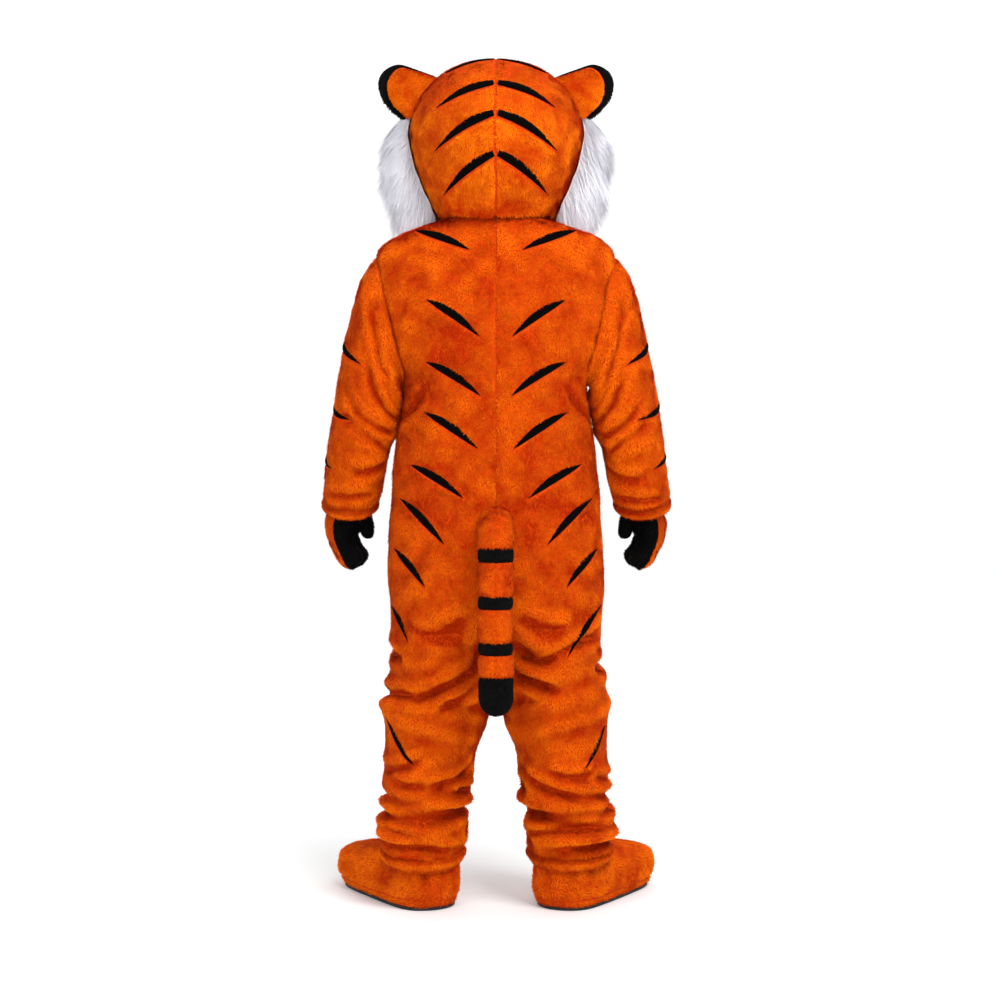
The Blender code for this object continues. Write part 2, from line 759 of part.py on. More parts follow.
def make_tail():
    tree = skin_tree(["back_left", "back_right"])
    middle_z = TAIL_TOP - TAIL_RADIUS
    rings = []
    for step in range(6):
        angle = math.pi / 2 * step / 5
        ring = []
        for place in range(12):
            turn = 2 * math.pi * place / 12
            aside = TAIL_RADIUS * math.cos(turn)
            out = TAIL_RADIUS * math.sin(turn)
            reach = TAIL_BEND + out
            y = TAIL_ROOT_Y - reach * math.sin(angle)
            z = middle_z - TAIL_BEND + reach * math.cos(angle)
            point = Vector((aside, y, z))
            if step == 0:
                point, _ = laid(tree, aside, z, True, 1.8)
            ring.append(point)
        rings.append(ring)
    rings.append(tail_ring(TAIL_PARTS[0][1] + SEAM_GAP / 2, TAIL_RADIUS))
    foot, _ = laid(tree, 0.5, middle_z, True, 1.8)
    foot.x = 0.0
    solid("tail_root", rings, 1, "orange", start_tip=foot)
    for name, top, bottom, colour in TAIL_PARTS:
        solid(name, [tail_ring(top - SEAM_GAP / 2, TAIL_RADIUS),
                     tail_ring(bottom + SEAM_GAP / 2, TAIL_RADIUS)], 1, colour)
    top = TAIL_PARTS[-1][2]
    rings = [tail_ring(top - SEAM_GAP / 2, TAIL_RADIUS)]
    for share in (0.0, 0.35, 0.65, 0.88):
        angle = share * math.pi / 2
        height = TAIL_END + TAIL_RADIUS * 1.1 * (1 - math.sin(angle))
        rings.append(tail_ring(height, TAIL_RADIUS * math.cos(angle)))
    solid("tail_tip", rings, 1, "black", tip=Vector((0, TAIL_Y, TAIL_END)))


TAIL_ROOT_Y = -152.0
TAIL_Y = TAIL_ROOT_Y - TAIL_BEND


# ---------------------------------------------------------------- head
def head_normal(across, ring):
    step_across = head(across + 0.01, ring) - head(across - 0.01, ring)
    low = max(0.0, ring - 0.1)
    high = min(10.98, ring + 0.1)
    normal = step_across.cross(head(across, high) - head(across, low))
    if normal.length < 1e-6:
        return Vector((0, 0, 1))
    return normal.normalized()


def make_head():
    rings = [0, 1, 2, 3, 4, 5, 6, 7, FACE_TOP_RING, 8, 9, 10, 11]
    for word, side in SIDES.items():
        grid = []
        normals = []
        for ring in rings:
            edge = read(FACE_EDGE, "across", ring) if ring < 8 else 2.0
            row = []
            row_normals = []
            for column in range(9):
                across = edge * column / 8
                point = head(across, ring)
                normal = head_normal(across, ring)
                if across in (0.0, 2.0):
                    point.x = 0.0
                    normal.x = 0.0
                row.append(point)
                row_normals.append(normal.normalized())
            grid.append(row)
            normals.append(row_normals)
        wall(f"hood_{word}", grid, normals, HEAD_WALL, side, "orange", pole=True)
    grid = []
    normals = []
    for ring in (0, 1, 2, 3, 4, 5, 6, 7, FACE_TOP_RING):
        edge = read(FACE_EDGE, "across", ring)
        row = []
        row_normals = []
        for column in range(9):
            share = column / 4 - 1
            across = 2 - (2 - edge) * abs(share)
            point = head(across, ring)
            normal = head_normal(across, ring)
            if share < 0:
                point.x = -point.x
                normal.x = -normal.x
            if share == 0:
                point.x = 0.0
                normal.x = 0.0
            row.append(point)
            row_normals.append(normal.normalized())
        grid.append(row)
        normals.append(row_normals)
    wall("face", grid, normals, HEAD_WALL, 1, "orange", gap=0.6)


def cap(name, tree, middle, radii, height, count, colour, sink=2.6, thickness=None):
    """A dome on the front of a skin; with a thickness it is a bowl that opens toward the skin."""
    rings = []
    normal_sum = laid(tree, middle[0], middle[1], False, 0)[1]
    shares = (1.0, 0.94, 0.72, 0.40)
    for level, share in enumerate(shares):
        ring = []
        rise = height * math.sqrt(max(0.0, 1 - share * share)) if level else 0.0
        for step in range(count):
            turn = 2 * math.pi * step / count
            x = middle[0] + radii[0] * share * math.cos(turn)
            z = middle[1] + radii[1] * share * math.sin(turn)
            base, _ = laid(tree, x, z, False, sink)
            ring.append(base + normal_sum * rise)
        rings.append(ring)
    top = laid(tree, middle[0], middle[1], False, sink)[0] + normal_sum * height
    if thickness is None:
        foot = laid(tree, middle[0], middle[1], False, sink)[0]
        return solid(name, rings, 1, colour, tip=top, start_tip=foot)
    centre = laid(tree, middle[0], middle[1], False, 0)[0]
    normals = []
    for level, ring in enumerate(rings):
        row = []
        for point in ring:
            out = (point - centre)
            flat = out - normal_sum * out.dot(normal_sum)
            lift = normal_sum * (0.0, 0.35, 0.9, 2.2)[level]
            row.append((flat.normalized() + lift).normalized())
        normals.append(row)
    grid = rings + [[top]]
    return wall(name, grid, normals + [[normal_sum]], thickness, 1, colour, round_about=True,
                pole=True, gap=0.0)


def make_face_parts():
    face = skin_tree(["face"])
    cap("muzzle", face, (0, 128), (78, 52), 52, 16, "white", sink=5.5, thickness=5.0)
    muzzle = skin_tree(["muzzle"])
    cap("nose", muzzle, (0, 146), (24, 15), 15, 12, "black", sink=3.6)
    for word, side in SIDES.items():
        cap(f"eye_{word}", face, (side * 52, 226), (23, 29), 12, 12, "eye")


def make_ears():
    for word, side in SIDES.items():
        for part in ("back", "front"):
            toward = -1 if part == "back" else 1
            grid = []
            normals = []
            for row_data in rows_of(EAR):
                root = Vector((row_data["root_x"] + 5, EAR_MIDDLE_Y, row_data["root_z"] + 3))
                rim = Vector((row_data["rim_x"], EAR_MIDDLE_Y, row_data["rim_z"]))
                if part == "back":
                    rim = root + (rim - root) * row_data["back_share"]
                place = row_data["step"] / 8
                row = []
                for share in (0.0, 0.35, 0.7, 1.0):
                    point = root + (rim - root) * share
                    puff = EAR_BULGE * math.sin(math.pi * (0.12 + 0.76 * place))
                    puff *= math.cos(share * math.pi / 2) ** 0.7 if share < 1 else 0.0
                    point.y += toward * (0.3 + puff)
                    row.append(point)
                grid.append(row)
            for place, row in enumerate(grid):
                row_normals = []
                for column, point in enumerate(row):
                    before = grid[max(0, place - 1)][column]
                    after = grid[min(8, place + 1)][column]
                    near = row[max(0, column - 1)]
                    far = row[min(3, column + 1)]
                    normal = (after - before).cross(far - near)
                    if normal.y * toward < 0:
                        normal = -normal
                    row_normals.append(normal.normalized())
                normals.append(row_normals)
            outer = [[point + Vector((0, toward * EAR_SKIN, 0)) for point in row] for row in grid]
            straight = [[Vector((0, toward, 0)) for _ in row] for row in grid]
            colour = "orange" if part == "back" else "black"
            wall(f"ear_{part}_{word}", outer, straight, EAR_SKIN, side, colour, gap=0.0)


def make_ruffs():
    for word, side in SIDES.items():
        rings = []
        for row in rows_of(RUFF):
            ring = []
            start = row["start_y"]
            length = row["end_y"] - start
            for share in (0.0, 0.3, 0.65, 1.0):
                y = start + length * share
                x = head_side(y, row["height"]) + RUFF_OVER_HEAD
                ring.append(Vector((x, y, row["height"])))
            foot = ring[0]
            end = ring[3]
            tip = Vector((row["outer"], start + length * 0.42, row["height"]))
            for share in (0.30, 0.62, 0.86):
                ring.append(end + (tip - end) * share + Vector((6, 5, 0)) * math.sin(math.pi * share))
            ring.append(tip)
            for share in (0.25, 0.6):
                ring.append(tip + (foot - tip) * share + Vector((5, -4, 0)) * math.sin(math.pi * share))
            rings.append(ring)
        solid(f"ruff_{word}", rings, side, "white")


# ---------------------------------------------------------------- gloves and boots
def make_gloves():
    for word, side in SIDES.items():
        for part, first in (("back", -math.pi / 2), ("palm", math.pi / 2)):
            grid = []
            normals = []
            for station in range(8):
                row = []
                row_normals = []
                for column in range(7):
                    turn = first + math.pi * column / 6
                    point = glove(turn, station)
                    normal = across_of(glove, turn, station, 0.02, 0.05)
                    out = point - Vector((read(GLOVE, "middle_x", station),
                                          read(GLOVE, "middle_y", station), point.z))
                    if normal.dot(out) < 0:
                        normal = -normal
                    row.append(point)
                    row_normals.append(normal)
                grid.append(row)
                normals.append(row_normals)
            tip = glove(0, 8)
            tip.x += 0.2 if part == "back" else -0.2
            grid.append([tip])
            normals.append([Vector((0, 0, -1))])
            half_wall(f"glove_{part}_{word}", grid, normals, side,
                      "orange" if part == "back" else "black")


def half_wall(name, grid, normals, side, colour):
    """Half of a glove: a wall whose last row is one point, set aside from the other half."""
    rows = edge_moved(grid[:-1], SEAM_GAP, False, ())
    columns = len(rows[0])
    count = len(rows)
    vertices = []
    for row in rows:
        vertices.extend(row)
    for row, row_normals in zip(rows, normals):
        vertices.extend(point - normal * GLOVE_WALL for point, normal in zip(row, row_normals))
    inside = count * columns
    faces = []
    for row in range(count - 1):
        for column in range(columns - 1):
            corner = row * columns + column
            faces.append((corner, corner + 1, corner + columns + 1, corner + columns))
            corner += inside
            faces.append((corner, corner + columns, corner + columns + 1, corner + 1))
    for row in range(count - 1):
        for column in (0, columns - 1):
            corner = row * columns + column
            faces.append((corner, corner + columns, inside + corner + columns, inside + corner))
    for column in range(columns - 1):
        faces.append((column, column + 1, inside + column + 1, inside + column))
    tip = len(vertices)
    vertices.append(grid[-1][0])
    vertices.append(grid[-1][0] + Vector((0, 0, GLOVE_WALL)))
    last = (count - 1) * columns
    for column in range(columns - 1):
        faces.append((last + column, last + column + 1, tip))
        faces.append((inside + last + column + 1, inside + last + column, tip + 1))
    faces.append((last, tip, tip + 1, inside + last))
    end = last + columns - 1
    faces.append((tip, end, inside + end, tip + 1))
    return save(name, vertices, faces, side, colour)


def make_boots():
    count = 18
    turns = [2 * math.pi * step / count for step in range(count)]
    for word, side in SIDES.items():
        grid = []
        normals = []
        for ring in range(11):
            row = []
            row_normals = []
            for turn in turns:
                point = boot(turn, ring)
                normal = across_of(boot, turn, ring, 0.02, 0.05)
                ahead = read(BOOT, "toe_ahead", ring) / 2
                angle = math.radians(BOOT_TURN)
                middle = Vector((ANKLE_X + ahead * math.sin(angle), ahead * math.cos(angle), point.z))
                if normal.dot(point - middle) < 0:
                    normal = -normal
                if ring == 0:
                    normal.z = 0
                    normal = normal.normalized()
                row.append(point)
                row_normals.append(normal)
            grid.append(row)
            normals.append(row_normals)
        wall(f"boot_{word}", grid, normals, BOOT_WALL, side, "orange", round_about=True, gap=0.0)
        top = [point.copy() for point in grid[0]]
        for point in top:
            point.z = FLOOR + SOLE_TOP
        bottom = [point.copy() for point in grid[0]]
        for point in bottom:
            point.z = FLOOR
        solid(f"sole_{word}", [bottom, top], side, "rubber")


# ---------------------------------------------------------------- stripes
def stripe(name, tree, row, side):
    """A thin lens laid on the skin, thickest at its middle and bowed upward."""
    count = 8
    upper = []
    lower = []
    for step in range(count + 1):
        share = step / count
        share = 0.5 - 0.5 * math.cos(math.pi * share)
        x = row["outer_x"] + (row["inner_x"] - row["outer_x"]) * share
        z = row["outer_z"] + (row["inner_z"] - row["outer_z"]) * share
        z += row["bow"] * math.sin(math.pi * share)
        half = max(0.9, row["thick"] / 2 * math.sin(math.pi * share) ** 0.75)
        upper.append((x, z + half))
        lower.append((x, z - half))
    places = upper + lower
    lift = ON_TOP
    while lift < 6.0:
        under = [laid(tree, side * x, z, True, lift)[0] for x, z in places]
        over = [laid(tree, side * x, z, True, lift + STRIPE)[0] for x, z in places]
        sheet = [(step, step + 1, count + 2 + step, count + 1 + step) for step in range(count)]
        if not tree.overlap(BVHTree.FromPolygons(under, sheet)):
            break
        lift += 0.3
    under = [laid(tree, side * x, z, True, lift + 0.3)[0] for x, z in places]
    over = [laid(tree, side * x, z, True, lift + 0.3 + STRIPE)[0] for x, z in places]
    vertices = [Vector((side * point.x, point.y, point.z)) for point in under + over]
    line = count + 1
    faces = []
    for step in range(count):
        faces.append((step, step + 1, line + step + 1, line + step))
        over = 2 * line
        faces.append((over + step + 1, over + step, over + line + step, over + line + step + 1))
        faces.append((step + 1, step, over + step, over + step + 1))
        faces.append((line + step, line + step + 1, over + line + step + 1, over + line + step))
    faces.append((0, line, 3 * line, 2 * line))
    faces.append((line + count, count, 2 * line + count, 3 * line + count))
    save(name, vertices, faces, side, "satin")


def make_stripes():
    for word, side in SIDES.items():
        back = skin_tree([f"back_{word}"])
        for row, name in zip(rows_of(STRIPES), STRIPE_NAMES):
            stripe(f"stripe_{name}_{word}", back, row, side)
        hood = skin_tree([f"hood_{word}"])
        for row, name in zip(rows_of(HEAD_STRIPES), ("crown", "nape_high", "nape_low")):
            stripe(f"stripe_{name}_{word}", hood, row, side)


def main():
    for thing in list(bpy.data.objects):
        bpy.data.objects.remove(thing, do_unlink=True)
    make_suit()
    make_sleeves()
    make_leg_bands()
    make_tail()
    make_head()
    make_face_parts()
    make_ears()
    make_ruffs()
    make_gloves()
    make_boots()
    make_stripes()


main()
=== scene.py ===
# %% [markdown]
# # A plush tiger costume
# This lesson dresses a packed costume in its real cloth: short brushed orange plush, long white cheek fur
# and smooth black stripes. Every sheet of cloth starts as a flat grid, the way cloth starts flat, and each
# of its points is then put in its place on the worn form. Folds are added along lines listed in tables.
# Lengths are in millimetres and become metres when a mesh is written.

# %% Load the frame
import math

import bmesh
import bpy
import numpy as np
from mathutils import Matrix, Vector
from mathutils.bvhtree import BVHTree


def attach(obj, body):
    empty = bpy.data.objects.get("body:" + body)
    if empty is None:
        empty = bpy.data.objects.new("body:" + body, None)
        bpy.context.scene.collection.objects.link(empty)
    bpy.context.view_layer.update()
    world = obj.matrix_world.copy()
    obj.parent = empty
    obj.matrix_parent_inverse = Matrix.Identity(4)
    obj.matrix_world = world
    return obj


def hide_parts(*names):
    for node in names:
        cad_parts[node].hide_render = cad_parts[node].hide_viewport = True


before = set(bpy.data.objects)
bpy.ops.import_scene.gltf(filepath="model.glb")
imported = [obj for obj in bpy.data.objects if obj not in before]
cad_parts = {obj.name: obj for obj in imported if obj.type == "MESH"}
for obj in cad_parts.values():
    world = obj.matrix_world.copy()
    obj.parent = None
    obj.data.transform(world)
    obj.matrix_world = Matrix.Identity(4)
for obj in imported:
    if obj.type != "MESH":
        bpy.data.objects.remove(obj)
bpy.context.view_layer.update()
SIDES = {"left": -1.0, "right": 1.0}
SIDE_NAMES = {side: word for word, side in SIDES.items()}
FLOOR = -1450.0     # height of the ground under the soles
MM = 0.001          # a millimetre in metres
print("frame loaded:", len(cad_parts), "nodes")


# %% [markdown]
# ## Small tools
# A table keeps a row for each section of the costume and a name for each column, and a cubic is drawn
# through its rows. The noise is a soft random field that has the same value each run. Colours are written
# as sRGB hex values, the way a colour picker gives them, and one function turns them linear. A material is
# a few nodes on the standard shader.

# %% Tools for tables, noise, colour and materials
def table(names, rows):
    """Columns by name. The first column is the key and rises or falls all the way."""
    names = names.split()
    columns = {name: np.array([row[place] for row in rows], float) for place, name in enumerate(names)}
    columns["key"] = columns[names[0]]
    return columns


def read(columns, name, at):
    """A cubic through one column, for an array of places."""
    keys, values = columns["key"], columns[name]
    if keys[0] > keys[-1]:
        keys, values = keys[::-1], values[::-1]
    at = np.asarray(at, float)
    slope = np.empty_like(values)
    slope[1:-1] = (values[2:] - values[:-2]) / (keys[2:] - keys[:-2])
    slope[0] = (values[1] - values[0]) / (keys[1] - keys[0])
    slope[-1] = (values[-1] - values[-2]) / (keys[-1] - keys[-2])
    step = np.clip(np.searchsorted(keys, at, side="right") - 1, 0, len(keys) - 2)
    span = keys[step + 1] - keys[step]
    t = np.clip((at - keys[step]) / span, 0, 1)
    return (values[step] * (2 * t ** 3 - 3 * t * t + 1) + values[step + 1] * (3 * t * t - 2 * t ** 3)
            + slope[step] * span * (t ** 3 - 2 * t * t + t) + slope[step + 1] * span * (t ** 3 - t * t))


def rows_of(columns, side=None):
    """Each row of a table with its number. With a side, only the rows of that side."""
    names = [name for name in columns if name != "key"]
    rows = [{name: float(columns[name][place]) for name in names} for place in range(len(columns["key"]))]
    return [(place, row) for place, row in enumerate(rows) if side is None or row["side"] == side]


def noise(points, size, seed=0):
    """A soft random value from -1 to 1 at each point, that changes over about size millimetres."""
    spot = np.asarray(points, float) / size + seed * 17.37
    cell = np.floor(spot).astype(np.int64)
    part = spot - cell
    part = part * part * (3 - 2 * part)
    total = np.zeros(spot.shape[:-1])
    for corner in range(8):
        step = np.array([corner & 1, corner >> 1 & 1, corner >> 2 & 1])
        near = cell + step
        mixed = near[..., 0] * 374761393 + near[..., 1] * 668265263 + near[..., 2] * 1442695041 + seed * 974634777
        mixed = (mixed ^ (mixed >> 13)) * 1274126177
        value = ((mixed ^ (mixed >> 16)) & 0xFFFF) / 32767.5 - 1
        weight = np.prod(np.where(step == 1, part, 1 - part), axis=-1)
        total += value * weight
    return total


def linear(code, alpha=1.0):
    """An sRGB hex colour as linear values."""
    parts = [int(code[place:place + 2], 16) / 255 for place in (0, 2, 4)]
    parts = [c / 12.92 if c <= 0.04045 else ((c + 0.055) / 1.055) ** 2.4 for c in parts]
    return (*parts, alpha)


def smoothstep(low, high, value):
    t = np.clip((value - low) / (high - low), 0, 1)
    return t * t * (3 - 2 * t)


def vec(x, y, z):
    return np.stack(np.broadcast_arrays(x, y, z), axis=-1).astype(float)


def unit(vectors):
    return vectors / np.maximum(np.linalg.norm(vectors, axis=-1, keepdims=True), 1e-9)


def to_side(side):
    """What a point of the right half is multiplied by to lie on a side."""
    return np.array([side, 1, 1])


def connect(made, **values):
    """Input values of a node, or links from other nodes' outputs. i0 is input 0, and _ stands for a space."""
    for name, value in values.items():
        by_number = name[0] == "i" and name[1:].isdigit()
        socket = made.inputs[int(name[1:]) if by_number else name.replace("_", " ")]
        if isinstance(value, bpy.types.NodeSocket):
            made.id_data.links.new(value, socket)
        else:
            socket.default_value = value
    return made


def node(tree, kind, settings=None, **values):
    made = tree.nodes.new(kind)
    for name, value in (settings or {}).items():
        setattr(made, name, value)
    return connect(made, **values)


MATERIALS = {}


def new_material(name):
    """A new material's nodes and its shader."""
    MATERIALS[name] = made = bpy.data.materials.new(name)
    made.use_nodes = True
    return made.node_tree, made.node_tree.nodes["Principled BSDF"]


# %% [markdown]
# ## Camera, floor and light
# The costume stands on a pale floor and is seen from behind, from a little over its waist. A long lens
# keeps the head and the boots in the same proportion. A big soft key lamp on the right and a weaker one on
# the left give the cloth its form, and a low one in front lights the legs and the boots. Away from the
# costume the floor glows a little, so that it fades into the wall.

# %% Stage
def add_light(name, place, target, size, power):
    lamp = bpy.data.lights.new(name, "AREA")
    lamp.shape = "SQUARE"
    lamp.size = size
    lamp.energy = power
    made = bpy.data.objects.new(name, lamp)
    made.location = place
    made.rotation_mode = "QUATERNION"
    made.rotation_quaternion = (Vector(target) - Vector(place)).to_track_quat("-Z", "Y")
    bpy.context.scene.collection.objects.link(made)


CAMERA_PLACE = (0.0087, -4.2, -0.423)
CAMERA_PITCH = -2.0
SENSOR_WIDTH = 36
VIEW_WIDTH = 2.166          # metres that the lens takes in at the costume
FLOOR_RADIUS = 12
FLOOR_DROP = 0.0004         # keeps the floor just under the soles
GLOW_FROM, GLOW_TO = 1.47, 1.75     # metres from the origin, which is 1.45 over the floor
camera = bpy.data.objects.new("camera", bpy.data.cameras.new("camera"))
camera.data.sensor_width = SENSOR_WIDTH
camera.data.lens = SENSOR_WIDTH * -CAMERA_PLACE[1] / VIEW_WIDTH
camera.data.clip_end = 60
camera.location = CAMERA_PLACE
camera.rotation_euler = (math.radians(90 + CAMERA_PITCH), 0, 0)
bpy.context.scene.collection.objects.link(camera)
bpy.context.scene.camera = camera

floor_mesh = bmesh.new()
bmesh.ops.create_circle(floor_mesh, cap_ends=True, segments=96, radius=FLOOR_RADIUS)
bmesh.ops.translate(floor_mesh, vec=(0, 0, FLOOR / 1000 - FLOOR_DROP), verts=floor_mesh.verts)
floor = bpy.data.objects.new("floor", bpy.data.meshes.new("floor"))
floor_mesh.to_mesh(floor.data)
floor_mesh.free()
bpy.context.scene.collection.objects.link(floor)
tree, shader = new_material("white studio paper")
away = node(tree, "ShaderNodeVectorMath", {"operation": "LENGTH"},
            i0=node(tree, "ShaderNodeTexCoord").outputs["Object"])
glow = node(tree, "ShaderNodeMapRange", Value=away.outputs["Value"], From_Min=GLOW_FROM, From_Max=GLOW_TO,
            To_Min=0.0, To_Max=0.30)
connect(shader, Base_Color=linear("F5F8F8"), Emission_Color=linear("FFFFFF"), Emission_Strength=glow.outputs[0],
        Roughness=0.8)
floor.data.materials.append(MATERIALS["white studio paper"])

world = bpy.data.worlds.new("studio")
world.use_nodes = True
bpy.context.scene.world = world
sky = world.node_tree
split = node(sky, "ShaderNodeSeparateXYZ", i0=node(sky, "ShaderNodeTexCoord").outputs["Generated"])
level = node(sky, "ShaderNodeMapRange", Value=split.outputs["Y"], From_Min=-0.6, From_Max=0.5, To_Min=0.34,
             To_Max=1.08)
brighter = node(sky, "ShaderNodeMath", {"operation": "MAXIMUM"}, i0=level.outputs[0],
                i1=node(sky, "ShaderNodeLightPath").outputs["Is Camera Ray"])
connect(sky.nodes["Background"], Color=linear("FFFFFF"), Strength=brighter.outputs[0])
add_light("key", (1.5, -2.3, 2.7), (0, 0, -0.25), 1.7, 156)
add_light("fill", (-1.9, -2.8, 1.7), (0, 0, -0.4), 2.0, 38)
add_light("low", (0.0, -4.0, 0.2), (0, 0, -0.9), 1.6, 22)
bpy.context.scene.view_settings.view_transform = "Standard"
print("camera, floor and lamps are in place")


# %% [markdown]
# ## Materials
# Each cloth has two materials: one for the woven back and the roots of the pile, and one for the blades.
# Acrylic plush is dull, with a faint sheen where the tips catch light from the side. The stripes are a
# smooth cut velour, darker than the plush and quite dull. The boot soles are matt rubber sheet.

# %% Materials
def flecks(tree, size, detail):
    """Soft noise of a size in millimetres, fixed to the piece."""
    spot = node(tree, "ShaderNodeTexCoord").outputs["Object"]
    return node(tree, "ShaderNodeTexNoise", Vector=spot, Scale=1000 / size, Detail=detail).outputs["Fac"]


def blend(tree, share, dark, light):
    mix = node(tree, "ShaderNodeMix", {"data_type": "RGBA"}, Factor=share, i6=linear(dark), i7=linear(light))
    return mix.outputs[2]


def relief(tree, height, strength, depth):
    """A bump with a depth in metres."""
    return node(tree, "ShaderNodeBump", Strength=strength, Distance=depth, Height=height).outputs[0]


def backing(name, dark, light):
    """Woven back with the roots of the pile: blotches some 40 mm wide and grain as wide as a tuft."""
    tree, shader = new_material(name)
    tufts = flecks(tree, 5.0, 4.0)
    both = node(tree, "ShaderNodeMath", {"operation": "MULTIPLY_ADD"}, i0=flecks(tree, 40, 3.0), i1=0.5, i2=tufts)
    share = node(tree, "ShaderNodeMapRange", Value=both.outputs[0], From_Min=0.45, From_Max=1.05)
    connect(shader, Base_Color=blend(tree, share.outputs[0], dark, light),
            Normal=relief(tree, tufts, 0.55, 0.0025), Roughness=0.95, Specular_IOR_Level=0.08)


def blades(name, sheen, tint, glow=0.0):
    """Pile blades in their own colour. glow is painted light: the blades also glow in their own colour, which lifts
    the shade in pale fur as light passing through it would.
    """
    tree, shader = new_material(name)
    colour = node(tree, "ShaderNodeAttribute", {"attribute_name": "strand"}).outputs["Color"]
    connect(shader, Base_Color=colour, Roughness=0.9, Specular_IOR_Level=0.05, Sheen_Weight=sheen,
            Sheen_Roughness=0.45, Sheen_Tint=linear(tint), Emission_Color=colour, Emission_Strength=glow)


backing("orange plush backing", "A02600", "E04A04")
backing("black plush backing", "030303", "0B0A0A")
backing("white plush backing", "BDBBC2", "F2F1F3")
blades("orange plush pile", 0.05, "FF7A1A")
blades("black plush pile", 0.02, "8A8A90")
# The white fur's glow is painted light that lifts its shade.
blades("white fur pile", 0.05, "FFFFFF", glow=0.16)

tree, shader = new_material("black cut velour")
grain = flecks(tree, 3.0, 5.0)
connect(shader, Base_Color=blend(tree, grain, "020202", "060504"), Normal=relief(tree, grain, 0.5, 0.001),
        Roughness=1.0, Specular_IOR_Level=0.04)

tree, shader = new_material("black sole rubber")
scuff = flecks(tree, 12.0, 6.0)
share = node(tree, "ShaderNodeMapRange", Value=scuff, To_Min=0.6, To_Max=0.85)
connect(shader, Base_Color=linear("141414"), Roughness=share.outputs[0], Normal=relief(tree, scuff, 0.2, 0.0005))

tree, shader = new_material("black moulded eye")
share = node(tree, "ShaderNodeMapRange", Value=flecks(tree, 8.0, 4.0), To_Min=0.06, To_Max=0.14)
connect(shader, Base_Color=linear("08080A"), Roughness=share.outputs[0], Coat_Weight=0.15,
        Specular_IOR_Level=0.2)
print("materials:", ", ".join(MATERIALS))

# Each cloth's back, slot and pile. The pile's colours are root dark, root light, tip dark and tip light.
CLOTHS = {
    "orange": ("orange plush backing", "orange_plush", "orange plush pile",
               ("A42200", "DC3E00", "C83200", "FF860C")),
    "black": ("black plush backing", "black_plush", "black plush pile",
              ("020202", "050505", "040404", "101010")),
    "white": ("white plush backing", "white_plush", "white fur pile",
              ("AAA9B0", "C6C5CB", "C4C3C9", "E4E3E8")),
    "stripe": ("black cut velour", "stripe_satin"),
    "sole": ("black sole rubber", "sole_rubber"),
    "eye": ("black moulded eye", "eye_plastic"),
}


# %% [markdown]
# ## The worn form
# The suit is cut in a back and a front for each half. A point of either is found by how far it lies
# round the body and how high. Above the crotch a section is half of the trunk, below it a whole leg, and
# between the seat and the crotch one turns into the other, which is what the rise of a real suit does.

# %% Sizes of the body
BODY = table("height side inner back front", [
    (60, 88, 0, 86, 84), (40, 96, 0, 88, 84), (26, 140, 0, 92, 84), (2, 208, 0, 104, 90),
    (-22, 246, 0, 111, 98), (-45, 259, 0, 117, 106), (-85, 264, 0, 128, 120), (-130, 266, 0, 136, 130),
    (-182, 258, 0, 142, 138), (-235, 240, 0, 144, 142), (-280, 217, 0, 143, 142), (-320, 199, 0, 141, 142),
    (-365, 200, 0, 138, 144), (-410, 208, 0, 136, 148), (-460, 218, 0, 134, 152), (-520, 224, 0, 136, 155),
    (-580, 227, 0, 142, 155), (-640, 232, 0, 150, 152), (-700, 234, 0, 155, 148), (-755, 233, 0, 156, 144),
    (-800, 229, 0, 152, 140), (-850, 229, 0, 142, 134), (-890, 226, 0, 133, 127), (-927, 229, 0, 126, 122),
    (-960, 238, 4, 122, 120), (-1010, 244, 10, 117, 116), (-1060, 243, 20, 111, 110),
    (-1115, 245, 42, 104, 102), (-1167, 248, 50, 100, 98), (-1193, 246, 54, 98, 95), (-1219, 247, 60, 95, 93),
    (-1245, 254, 69, 95, 95), (-1271, 256, 62, 99, 99), (-1297, 252, 66, 95, 94), (-1318, 249, 71, 89, 89),
    (-1345, 247, 73, 87, 87),
])
BODY_FOLDS = table("side across height reach tall slope depth", [
    (-1, 0.35, -1000, 0.45, 16, 90, -7), (-1, 0.60, -1045, 0.40, 15, 80, 6),
    (-1, 0.50, -1235, 0.60, 14, -25, -7), (-1, 0.80, -1272, 0.50, 13, 30, 7),
    (-1, 0.40, -1205, 0.50, 13, 35, 6), (-1, 1.50, -1010, 0.45, 17, -80, -6),
    (-1, 1.50, -1245, 0.55, 15, 30, -7), (-1, 0.80, -360, 0.22, 22, -60, -7),
    (1, 0.35, -985, 0.45, 16, 95, -7), (1, 0.62, -1035, 0.40, 16, 75, 6),
    (1, 0.45, -1240, 0.60, 14, 25, -7), (1, 0.75, -1280, 0.50, 13, -30, 6),
    (1, 0.50, -1210, 0.50, 14, -30, 7), (1, 1.50, -1020, 0.45, 17, -85, -6),
    (1, 1.45, -1240, 0.55, 15, -25, -7), (1, 0.80, -355, 0.22, 22, -60, -6),
])
SHOULDER_TIP, ARMPIT, ARMHOLE_SPREAD = -45.0, -320.0, 0.32
SEAT, CROTCH = -800.0, -927.0
HEM_TOP, HEM_TILT_FROM, HEM_BAND, HEM_FACING = -1318.0, -1170.0, 26.0, 15.0


# %% Where a point of the body lies
def hem_rise(across):
    """How far the leg's lower edge rises on the boot, which is most toward the toe."""
    turn = across * math.pi
    facing = math.radians(HEM_FACING)
    toward_toe = -np.sin(turn) * math.cos(facing) - np.cos(turn) * math.sin(facing)
    return 20.5 * toward_toe + 7.5 * toward_toe ** 2 - 6.0


